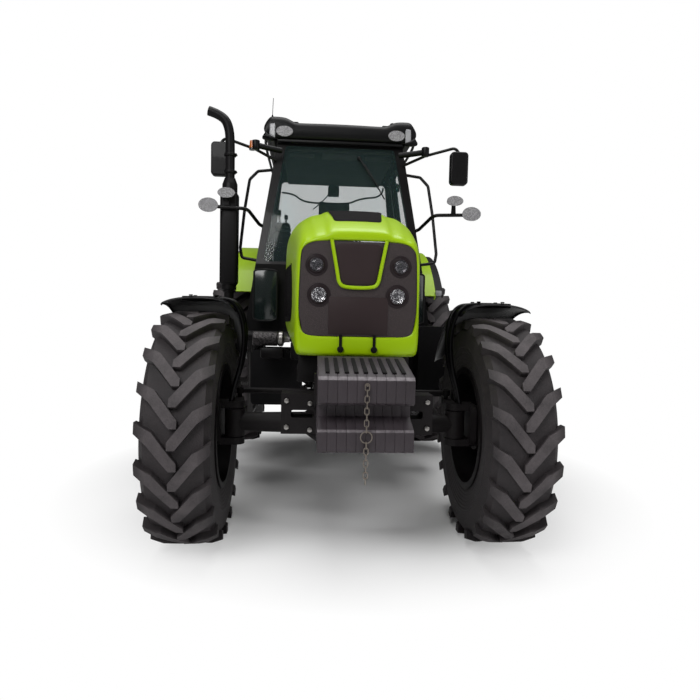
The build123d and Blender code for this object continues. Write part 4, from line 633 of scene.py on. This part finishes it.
# Headlamps: four round lamps in dished pockets, each a plated reflector behind a clear domed lens.
# The upper pair is smaller and looks darker.
pocket_black = painted("pocket_black", colour(38, 31, 33), 0.35)
reflector = Finish("lamp_reflector", colour(190, 188, 190), 0.16, metallic=1.0)
facets = reflector.cells(95.0)
reflector.set("Base Color", reflector.between(reflector.limited(facets, 0.2, 0.7), colour(225, 224, 226),
                                              colour(96, 92, 96)))
reflector.bump(facets, 0.003)
lens = Finish("lamp_lens", colour(90, 92, 96), 0.05, alpha=0.16)
lens.set("Roughness", lens.noise(30.0) * 0.06 + 0.02)


def turned(centre, direction, rings, sides=32):
    """Turned form from (distance along the line, radius) rings."""
    along = Vector(direction).normalized()
    across = along.orthogonal().normalized()
    third = along.cross(across)
    middle = Vector(centre)
    rows = []
    for distance, radius in rings:
        rows.append([
            middle + along * distance
            + (across * math.cos(2 * math.pi * i / sides) + third * math.sin(2 * math.pi * i / sides)) * radius
            for i in range(sides + 1)
        ])
    return skin(rows, True)


pockets, dishes, dim_dishes, domes = [], [], [], []
for x, z, size, dish_group in ((0.212, 1.642, 0.034, dim_dishes), (0.198, 1.493, 0.038, dishes)):
    for side in (1, -1):
        place = (side * x, panel_y, z)
        pockets.append(turned(place, (0, -1, 0), (
            (0.0, size + 0.022), (0.003, size + 0.021), (0.005, size + 0.010), (0.012, size + 0.004),
            (0.013, size), (0.002, size - 0.001), (0.0, size - 0.002))))
        dish_group.append(turned(place, (0, -1, 0), (
            (0.011, size), (0.004, size * 0.8), (0.001, size * 0.45), (0.001, size * 0.28), (0.010, size * 0.26),
            (0.012, 0.0005))))
        domes.append(turned(place, (0, -1, 0), (
            (0.010, size), (0.014, size * 0.93), (0.018, size * 0.7), (0.021, size * 0.35), (0.0215, 0.0005),
            (0.019, 0.0005), (0.0185, size * 0.35), (0.0155, size * 0.7), (0.0115, size * 0.92), (0.010, size))))
headlamp_rims = finished("headlamp_pockets", pockets, pocket_black, "hood")
finished("headlamp_reflectors", dishes, reflector.material, "hood")
dim_silver = painted("dim_silver", colour(84, 80, 84), 0.22, metallic=0.8, dust=0.4)
finished("upper_reflectors", dim_dishes, dim_silver, "hood")
finished("headlamp_lenses", domes, lens.material, "hood")
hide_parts("headlamps")

# Engine bay: a round cleaner in a perforated steel guard, set across the engine behind the right front wheel.
# A cooler, a pump on each side and steel lines are bolted along the engine, all in black.
dark_fitting = painted("dark_fitting", colour(15, 13, 14), 0.45, dust=0.4)
guard = Finish("guard_mesh", colour(34, 32, 33), 0.4, metallic=0.5)
piercing = guard.cells(75.0)
guard.set("Base Color", guard.between(guard.limited(piercing, 0.25, 0.5), colour(6, 6, 6), colour(58, 54, 55)))
guard.bump(piercing, 0.003)
cleaner_y, cleaner_z = -0.380, 1.202
finished("cleaner_guard", [turned((-0.670, cleaner_y, cleaner_z), (1, 0, 0), (
    (0.0, 0.001), (0.0, 0.050), (0.006, 0.056), (0.183, 0.056), (0.189, 0.050), (0.189, 0.001)))],
         guard.material, "chassis")
finished("cleaner_cap", [turned((-0.479, cleaner_y, cleaner_z), (1, 0, 0), (
    (0.0, 0.001), (0.0, 0.050), (0.010, 0.058), (0.034, 0.058), (0.042, 0.050), (0.048, 0.030), (0.060, 0.026),
    (0.090, 0.026), (0.090, 0.001)))], plated_steel, "chassis")
bay_parts = [
    block((-0.30, -1.780, 1.030), (0.30, -1.700, 1.176), 0.008),
    block((-0.31, -1.690, 1.024), (-0.22, -0.960, 1.100), 0.012),
    block((0.22, -1.690, 1.024), (0.31, -0.960, 1.100), 0.012),
    block((-0.375, -0.640, 1.060), (-0.235, -0.420, 1.200), 0.020),
    block((0.235, -0.720, 0.960), (0.350, -0.460, 1.200), 0.018),
    turned((0.255, -0.900, 1.130), (0, 1, 0), (
        (0.0, 0.001), (0.0, 0.036), (0.012, 0.044), (0.024, 0.036), (0.036, 0.044), (0.048, 0.036), (0.150, 0.038),
        (0.160, 0.030), (0.160, 0.001))),
    turned((-0.255, -0.900, 1.130), (0, 1, 0), (
        (0.0, 0.001), (0.0, 0.034), (0.012, 0.042), (0.030, 0.042), (0.042, 0.034), (0.180, 0.038), (0.180, 0.001))),
    tube(((-0.385, cleaner_y, cleaner_z), (-0.330, -0.390, 1.200), (-0.270, -0.450, 1.180), (-0.240, -0.500, 1.150)),
         0.022),
    tube(((0.250, -0.800, 1.080), (0.300, -0.860, 1.020), (0.285, -1.000, 0.960), (0.230, -1.060, 0.940)), 0.012),
    tube(((-0.250, -0.800, 1.060), (-0.300, -0.900, 1.000), (-0.285, -1.020, 0.950), (-0.230, -1.060, 0.940)), 0.012),
    block((-0.610, -0.430, 1.050), (-0.430, -0.300, 1.138), 0.020),
]
finished("engine_fittings", bay_parts, dark_fitting, "chassis")

# Support bolts: plated hexagonal heads on the front support and its crossbar.
# Each is turned and headed from bar, and stands on the casting it holds.
crossbar_face_y = -2.094
bolts = []
for side in (1, -1):
    for y in (-1.190, -1.370):
        bolts.append(turned_stub((side * 0.195, y, 0.995), (side, 0, 0), 0.016, 0.03, 6))
    for z in (0.845, 0.975):
        bolts.append(turned_stub((side * 0.345, crossbar_face_y, z), (0, -1, 0), 0.013, 0.014, 6))
        bolts.append(turned_stub((side * 0.232, crossbar_face_y, z - 0.012), (0, -1, 0), 0.013, 0.014, 6))
finished("support_bolts", bolts, plated_steel, "chassis")

# Cab: a frame of box posts welded from steel, in satin black paint.
# The doors, rails, lamp arms and seat base have the same paint.
post_black = painted("post_black", colour(10, 9, 10), 0.36, coat=0.08, dust=0.3, grain=0.0001)
dress(post_black, "cab_frame", "door_left", "door_right", "grab_rails", "lamp_arms", "seat_base")

# Roof: one moulded black shell screwed to the frame, raised along both sides and narrower at its foot.
# It carries two lifting eyes and two ribs, and the cab floor has the same dull finish.
roof_black = painted("roof_black", colour(10, 10, 12), 0.4, dust=0.3, grain=0.0005)
dress(roof_black, "roof", "cab_floor")
ROOF_FOOT_Z, ROOF_FRONT_Y, ROOF_BACK_Y = 2.884, 0.212, 1.740
roof_half = ((0.560, 0.0), (0.612, 0.010), (0.660, 0.070), (0.658, 0.130), (0.612, 0.205), (0.590, 0.212),
             (0.500, 0.210), (0.455, 0.200), (0.400, 0.166), (0.370, 0.160), (0.200, 0.164), (0.0, 0.166))
roof_run = (  # y, share of the full height
    (0.240, 0.02), (0.214, 0.10), (0.205, 0.45), (0.213, 0.80), (0.245, 0.95), (0.330, 1.0), (0.700, 1.0),
    (1.200, 1.0), (1.640, 0.98), (1.720, 0.90), (1.746, 0.60), (1.748, 0.20), (1.735, 0.02))
roof_rows = []
for y, share in roof_run:
    narrowing = 0.975 if y < ROOF_FRONT_Y or y > ROOF_BACK_Y else 1.0
    half_row = [(x * narrowing, ROOF_FOOT_Z + rise * share) for x, rise in roof_half]
    roof_rows.append(whole(half_row, y))
roof_parts = [walled(skin(roof_rows), 0.020, -1.0)]
eye_x, eye_y = 0.486, 0.540
for side in (1, -1):
    roof_parts.append(turned_stub((side * eye_x, eye_y, 3.108), (0, 0, 1), 0.010, 0.020, 16, 0.002))
    roof_parts.append(tube([(side * eye_x + 0.020 * math.sin(turn), eye_y, 3.138 - 0.022 * math.cos(turn))
                            for turn in [math.radians(12 + 28 * step) for step in range(13)]], 0.0045))
    roof_parts.append(block((side * 0.40 - 0.035, 0.300, 3.040), (side * 0.40 + 0.035, 1.500, 3.062), 0.008))
roof_shell = finished("roof_shell", roof_parts, roof_black, "chassis", 40)
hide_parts("roof")

# Steps: folded steel treads in dark paint, welded between two side plates.
# A diamond pattern is rolled into the sheet.
tread_steel = Finish("tread_steel", colour(24, 23, 24), 0.45)
across, along, _ = tread_steel.axes()
ridges = tread_steel.wave((across + along) * 190.0) * tread_steel.wave((across - along) * 190.0)
tread_steel.set("Base Color", tread_steel.between(tread_steel.noise(9.0), colour(20, 19, 20), colour(44, 41, 40)))
tread_steel.bump(ridges, 0.002)
dress(tread_steel.material, "steps")

# Corner lamps: pale plastic lenses that wrap round the front corners of the roof.
# Each is clipped into the shell from outside.
grey_lamp = painted("corner_lamp_grey", colour(150, 150, 154), 0.2, coat=0.4, dust=0.2)
for side, side_name in ((1, "left"), (-1, "right")):
    lamp_rows = [
        [(side * (0.610 - 0.052 * across), 0.215 - 0.012 * across, 2.905 + 0.105 * rise - 0.030 * across * (1 - rise))
         for across in (0, 0.33, 0.66, 1)] for rise in (0, 0.33, 0.66, 1)]
    finished(f"roof_corner_lamp_{side_name}", [walled(skin(lamp_rows[::side]), 0.014, 0.0, 2)],
             grey_lamp, "chassis")

# Roof gutter: a black moulded bead along each side of the roof, with a strip over the windshield.
# The mirror arms start from two thick sockets below it.
roof_trim = []
for side in (1, -1):
    roof_trim.append(tube([(side * x, y, z) for x, y, z in (
        (0.630, 0.215, 2.890), (0.655, 0.300, 2.892), (0.660, 1.000, 2.892), (0.655, 1.700, 2.892))], 0.012))
    roof_trim.append(tube([(side * x, y, z) for x, y, z in (
        (0.500, 0.140, 2.765), (0.610, 0.090, 2.768), (0.700, 0.045, 2.776))], 0.024))
    roof_trim.append(turned_stub((side * 0.705, 0.042, 2.776), (0, 0, 1), 0.032, 0.075, 20, 0.006))
roof_trim.append(block((-0.540, 0.216, 2.862), (0.540, 0.236, 2.884), 0.004))
finished("roof_gutter", roof_trim, roof_black, "chassis")

# Antenna: a thin steel whip in a moulded foot, screwed to the roof's right front corner.
antenna_x = -0.590
antenna_foot = ((0.0, 0.001), (0.0, 0.014), (0.03, 0.010), (0.05, 0.004), (0.05, 0.001))
finished("whip_antenna", [
    turned((antenna_x, 0.300, 3.060), (0, 0, 1), antenna_foot),
    tube(((antenna_x, 0.300, 3.10), (-0.588, 0.295, 3.17), (-0.583, 0.285, 3.245)), 0.0026)],
    post_black, "chassis")

# Cab glass: sheets a few millimetres thick, bonded or hung in black seals.
# The rear panes are tinted a clearer blue-green than the windshield and the doors.
glass_finish = Finish("tinted_glass", (0.03, 0.06, 0.06, 1), 0.04, alpha=0.20)
towards_rear = glass_finish.limited(glass_finish.axes()[1], 0.6, 1.2)
glass_finish.set("Base Color", glass_finish.between(towards_rear, (0.030, 0.055, 0.055, 1), (0.06, 0.74, 0.80, 1)))
glass_finish.set("Roughness", glass_finish.noise(3.0, 4.0) * 0.05 + 0.01)
dress(glass_finish.material, "cab_glass", "door_glass_left", "door_glass_right")

# Roof lining: pressed grey felt board under the roof, with a box for the fan in its middle.
# The sun visors fold up against its front edge.
lining = painted("roof_lining", colour(34, 36, 34), 0.8, dust=0.2, grain=0.001)
lining_parts = [
    block((-0.500, 0.290, 2.800), (0.500, 1.600, 2.872), 0.020),
    block((-0.160, 0.300, 2.740), (0.160, 0.480, 2.806), 0.020),
    block((-0.440, 0.330, 2.760), (-0.220, 0.370, 2.806), 0.010),
    block((0.220, 0.330, 2.760), (0.440, 0.370, 2.806), 0.010),
]
finished("roof_lining", lining_parts, lining, "chassis")

# Wipers: one arm with its rubber blade before the windshield and one behind the rear window.
# Each turns on a motor, in a black cap over the header in front and in a box behind.
wiper_black = painted("wiper_black", colour(16, 16, 17), 0.5)
motor_cap = ((0.0, 0.001), (0.0, 0.020), (0.02, 0.020), (0.03, 0.010), (0.03, 0.001))
wipers = [
    tube(((0.165, 0.212, 2.745), (0.230, 0.170, 2.640), (0.330, 0.118, 2.470)), 0.007),
    tube(((0.210, 0.188, 2.690), (0.285, 0.140, 2.560), (0.375, 0.080, 2.380)), 0.0055),
    turned((0.165, 0.235, 2.750), (0, -1, -0.3), motor_cap),
    block((-0.060, 1.560, 2.690), (0.060, 1.640, 2.800), 0.012),
    tube(((-0.040, 1.690, 2.740), (-0.120, 1.692, 2.640), (-0.220, 1.692, 2.560)), 0.006),
]
finished("wipers", wipers, wiper_black, "chassis")

# Lower panes: dark glass let into the front of the cab on both sides of the hood.
# Each lies in a black rubber seal.
pane_black = painted("pane_black", colour(22, 30, 30), 0.12, dust=0.1, grain=0.00002, shine=0.5)
pane_x, half_pane, half_seal = 0.595, 0.090, 0.092
finished("lower_panes", [
    block((side * pane_x - half_pane, -0.166, 1.340), (side * pane_x + half_pane, -0.150, 1.740), 0.006)
    for side in (1, -1)], pane_black, "chassis")
seal_run = (
    (0.0, 1.335), (-half_seal, 1.335), (-half_seal, 1.400), (-half_seal, 1.700), (-half_seal, 1.745),
    (half_seal, 1.745), (half_seal, 1.700), (half_seal, 1.400), (half_seal, 1.335), (0.0, 1.335))
finished("pane_seals", [tube([(side * (pane_x + x), -0.162, z) for x, z in seal_run], 0.008, 2) for side in (1, -1)],
         wiper_black, "chassis")

# Rear window bar: one bent steel tube in grey paint, across the cab before the rear window.
# It guards the glass and carries the roof lining's end.
grey_tube = painted("grey_tube", colour(96, 104, 104), 0.4)
finished("rear_window_bar", [tube([(x, 1.600, z) for x, z in (
    (-0.560, 2.712), (-0.437, 2.707), (-0.348, 2.630), (-0.190, 2.609), (0.163, 2.609), (0.297, 2.680),
    (0.540, 2.700), (0.545, 2.800))], 0.010)], grey_tube, "chassis")

# Seat: a stitched cloth cushion, backrest and headrest, each one padded foam piece in its cover.
# They are swollen from a smaller block until they fill their place.
weave = Finish("seat_weave", colour(44, 44, 47), 0.9)
east, north, up = weave.axes()
threads = weave.wave(east * 1400.0) * weave.wave((north + up) * 1400.0)
weave.set("Base Color", weave.between(weave.limited(threads + weave.noise(30.0), -0.2, 1.4),
                                      colour(30, 30, 33), colour(66, 65, 68)))
weave.bump(threads, 0.0006)


def cushion(name, low, high, lean, cap):
    """Padded cushion between two corners, leaning back, swollen by cloth pressure up to a cap."""
    thinnest = min(b - a for a, b in zip(low, high))
    pad = eased(block(low, high, 0.0), thinnest * 0.32, 4)
    for vertex in pad.data.vertices:
        vertex.co.y += (vertex.co.z - low[2]) * lean
    pad.data.remesh_voxel_size = 0.006
    held(pad)
    bpy.ops.object.voxel_remesh()
    before = [vertex.co.copy() for vertex in pad.data.vertices]
    cloth = pad.modifiers.new("swelling", "CLOTH")
    cloth.settings.use_pressure = True
    cloth.settings.uniform_pressure_force = 4
    cloth.settings.effector_weights.gravity = 0
    cloth.settings.quality = 5
    for moment in range(1, 21):
        bpy.context.scene.frame_set(moment)
    held(pad)
    bpy.ops.object.modifier_apply(modifier=cloth.name)
    bpy.context.scene.frame_set(1)
    for vertex, start in zip(pad.data.vertices, before):
        move = vertex.co - start
        if move.length > cap:
            vertex.co = start + move * (cap / move.length)
    smooth = pad.modifiers.new("smooth", "SUBSURF")
    smooth.levels = smooth.render_levels = 1
    applied(pad)
    finished(name, [pad], weave.material, "chassis", 180)
    return pad


seat_pad = cushion("seat_cushion", (-0.235, 0.915, 1.676), (0.235, 1.330, 1.756), 0.0, 0.012)
cushion("seat_back", (-0.225, 1.240, 1.800), (0.225, 1.320, 2.345), 0.12, 0.012)
cushion("seat_headrest", (-0.165, 1.330, 2.400), (0.165, 1.390, 2.590), 0.10, 0.010)
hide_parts("seat_cushions")
piping = []
for x in (-0.13, 0.13):
    piping.append(tube(((x, 0.925, 1.764), (x, 1.000, 1.769), (x, 1.200, 1.769), (x, 1.320, 1.764)), 0.004, 2))
for x in (-0.07, 0.07):  # the two rods of the headrest
    piping.append(tube(((x, 1.345, 2.300), (x, 1.362, 2.400), (x, 1.370, 2.450)), 0.007, 2))
finished("seat_piping", piping, wiper_black, "chassis")

# Side console: a moulded box with an armrest on the driver's right, bolted to the cab floor.
# Two levers with round grips stand in it.
console_parts = [
    block((-0.600, 0.800, 1.880), (-0.430, 1.220, 2.190), 0.030),
    block((-0.590, 0.780, 2.200), (-0.440, 1.120, 2.270), 0.030),
    tube(((-0.540, 0.860, 2.250), (-0.545, 0.840, 2.330), (-0.550, 0.830, 2.370)), 0.010),
    turned_stub((-0.550, 0.830, 2.360), (0, 0, 1), 0.022, 0.060, 20, 0.008),
    tube(((-0.480, 0.840, 2.250), (-0.480, 0.820, 2.310), (-0.480, 0.815, 2.330)), 0.008),
    turned_stub((-0.480, 0.815, 2.320), (0, 0, 1), 0.018, 0.045, 20, 0.008),
]
finished("side_console", console_parts, dark_fitting, "chassis")

# Dash and steering wheel: moulded black plastic over a steel column.
# A small hooded display stands in front of the wheel.
dash_black = painted("dash_black", colour(30, 30, 32), 0.55, grain=0.0006)
dress(dash_black, "dash", "steering_wheel")
finished("display_hood", [block((-0.105, 0.170, 1.935), (0.105, 0.235, 2.060), 0.012)], dash_black, "chassis")

# Rear fenders: pressed steel arches in the hood's green, bolted to the cab.
# Black moulded flares are clipped along their outer edges, and the two boxes have the same plastic.
dress(lime_paint, "rear_fenders")
flare_black = painted("flare_black", colour(13, 12, 14), 0.5, dust=0.3, grain=0.0004)
dress(flare_black, "fender_flares", "side_box", "battery_box")

# Fender lamps: a red tail lamp and a pale marker on each rear fender.
# Both are moulded lenses, screwed on.
red_lens = painted("red_lens", colour(150, 20, 16), 0.15, coat=0.5, dust=0.2)
tail_x, marker_x = 0.985, 0.990
tail_lamps = [block((side * tail_x - 0.035, 2.372, 1.700), (side * tail_x + 0.035, 2.400, 1.800), 0.008)
              for side in (1, -1)]
finished("tail_lamps", tail_lamps, red_lens, "chassis")
marker_lamps = [block((side * marker_x - 0.030, 0.640, 1.600), (side * marker_x + 0.030, 0.690, 1.650), 0.010)
                for side in (1, -1)]
finished("side_marker_lamps", marker_lamps, grey_lamp, "chassis")

# Exhaust: an upright silencer of rolled sheet in a boxed heat shield, fed by a bent pipe from the engine.
# A tail pipe bent outwards is clamped to its top, and all of it is in heat-proof black.
exhaust_black = painted("exhaust_black", colour(12, 10, 12), 0.45, dust=0.4, grain=0.0001)
pipe_x, pipe_y = -0.895, -0.090
feed_z = 1.215
feed_run = ((-0.2303, -0.145, feed_z), (-0.420, -0.145, feed_z), (-0.640, pipe_y, feed_z), (-0.780, pipe_y, feed_z),
            (pipe_x, pipe_y, feed_z), (pipe_x, pipe_y, 1.330), (pipe_x, pipe_y, 1.600))
silencer_rings = ((0.0, 0.002), (0.0, 0.057), (0.003, 0.060), (0.840, 0.060), (0.850, 0.056), (0.888, 0.042),
                  (0.890, 0.002))
shield_half_x, shield_half_y = 0.0685, 0.075
tail_run = ((pipe_x, 2.440), (pipe_x, 2.620), (-0.897, 2.760), (-0.904, 2.850), (-0.932, 2.925), (-0.990, 2.963),
            (-1.040, 2.982), (-1.068, 2.990))
exhaust_pieces = [
    tube(feed_run, 0.040, 6),
    turned((pipe_x, pipe_y, 1.580), (0, 0, 1), silencer_rings, 40),
    eased(block((pipe_x - shield_half_x, pipe_y - shield_half_y, 1.620),
                (pipe_x + shield_half_x, pipe_y + shield_half_y, 2.352), 0.0), 0.022, 4),
    tube([(x, pipe_y, z) for x, z in tail_run], 0.037, 7),
]
exhaust_run = finished("exhaust_run", exhaust_pieces, exhaust_black, "chassis", 40)
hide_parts("exhaust")

# Exhaust clamps: bent steel bands round the pipes, each drawn tight by one bolt.
# They have the exhaust's black.
band_rings = ((0.0, 0.040), (0.0, 0.046), (0.004, 0.048), (0.020, 0.048), (0.024, 0.046), (0.024, 0.040),
              (0.0, 0.040))
clamps = []
for z in (1.560, 2.505, 2.640):
    clamps.append(turned((pipe_x, pipe_y, z), (0, 0, 1), band_rings))
    clamps.append(turned_stub((pipe_x + 0.050, pipe_y - 0.012, z + 0.012), (0, 1, 0), 0.007, 0.05, 6, 0.001))
finished("exhaust_clamps", clamps, exhaust_black, "chassis")

# Mirrors: black moulded shells on bent tube arms.
# A silvered glass is clipped into the back of each.
dress(post_black, "mirrors")
mirror_glass = painted("mirror_glass", colour(200, 206, 210), 0.04, metallic=1.0, dust=0.02, grain=0.00001)
mirror_x, half_mirror = 0.985, 0.062
glasses = [block((side * mirror_x - half_mirror, 0.0395, 2.515), (side * mirror_x + half_mirror, 0.043, 2.765), 0.001)
           for side in (1, -1)]
finished("mirror_faces", glasses, mirror_glass, "chassis")

# Work lamps: oval lamps with plated reflectors behind clear covers.
# They are bolted to the arms and set in pockets of the roof.
oval_lens = Finish("oval_lens", colour(176, 176, 180), 0.12, metallic=0.4, coat=0.5)
bulbs = oval_lens.limited(oval_lens.cells(110.0), 0.1, 0.6)
oval_lens.set("Base Color", oval_lens.between(bulbs, colour(214, 213, 216), colour(150, 148, 152)))
dress(oval_lens.material, "work_lamps")

# Beacon: a ribbed dome moulded in amber plastic, on a black foot.
# A short black arm holds it out from the roof.
beacon_x, beacon_y, dome_radius, dome_foot_z = -0.735, 0.050, 0.036, 2.752
amber = Finish("amber_dome", colour(205, 110, 30), 0.15, coat=0.5)
east, north, height = amber.axes()
on_dome = (((east - beacon_x) ** 2.0 + (north - beacon_y) ** 2.0) ** 0.5 < dome_radius) * (height > dome_foot_z)
ribs = amber.wave(height * 900.0)
banded = amber.between(amber.limited(ribs, -1.0, 1.0), colour(168, 78, 20), colour(214, 122, 44))
amber.set("Base Color", amber.between(on_dome, colour(10, 9, 10), banded))
amber.bump(ribs, 0.001)
dress(amber.material, "beacon")

# Fuel tank: blow-moulded black plastic, strapped beside the steps.
# A screw cap closes its neck.
tank_black = painted("tank_black", colour(13, 12, 13), 0.5, dust=0.3, grain=0.001)
dress(tank_black, "fuel_tank")
tank_low, tank_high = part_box("fuel_tank")
cap_place = (tank_high[0] - 0.09, tank_low[1] + 0.10, tank_high[2] - 0.001)
cap_rings = ((0.0, 0.001), (0.0, 0.048), (0.006, 0.052), (0.030, 0.050), (0.036, 0.044), (0.036, 0.001))
finished("fuel_cap", [turned(cap_place, (0, 0, 1), cap_rings)], tank_black, "chassis")

# Rear linkage: forged steel links and rods, pinned together and worn bright.
# The splined power take-off shaft turns out of the gearbox above the drawbar.
forged = painted("forged_links", colour(66, 62, 62), 0.45, dust=0.4, grain=0.0008, metallic=0.4)
dress(forged, "lower_links", "lift_rods", "top_link")
dress(plated_steel, "pto_shaft")

# Hydraulic couplers: four plated sockets, turned from bar and screwed into the rear of the gearbox.
# The hoses of an implement plug into them.
coupler_rings = ((0.0, 0.001), (0.0, 0.022), (0.018, 0.022), (0.020, 0.027), (0.040, 0.027), (0.044, 0.020),
                 (0.044, 0.001))
couplers = [turned((x, 1.968, 1.060), (0, 1, 0), coupler_rings) for x in (-0.165, -0.110, 0.110, 0.165)]
finished("hydraulic_couplers", couplers, plated_steel, "chassis")
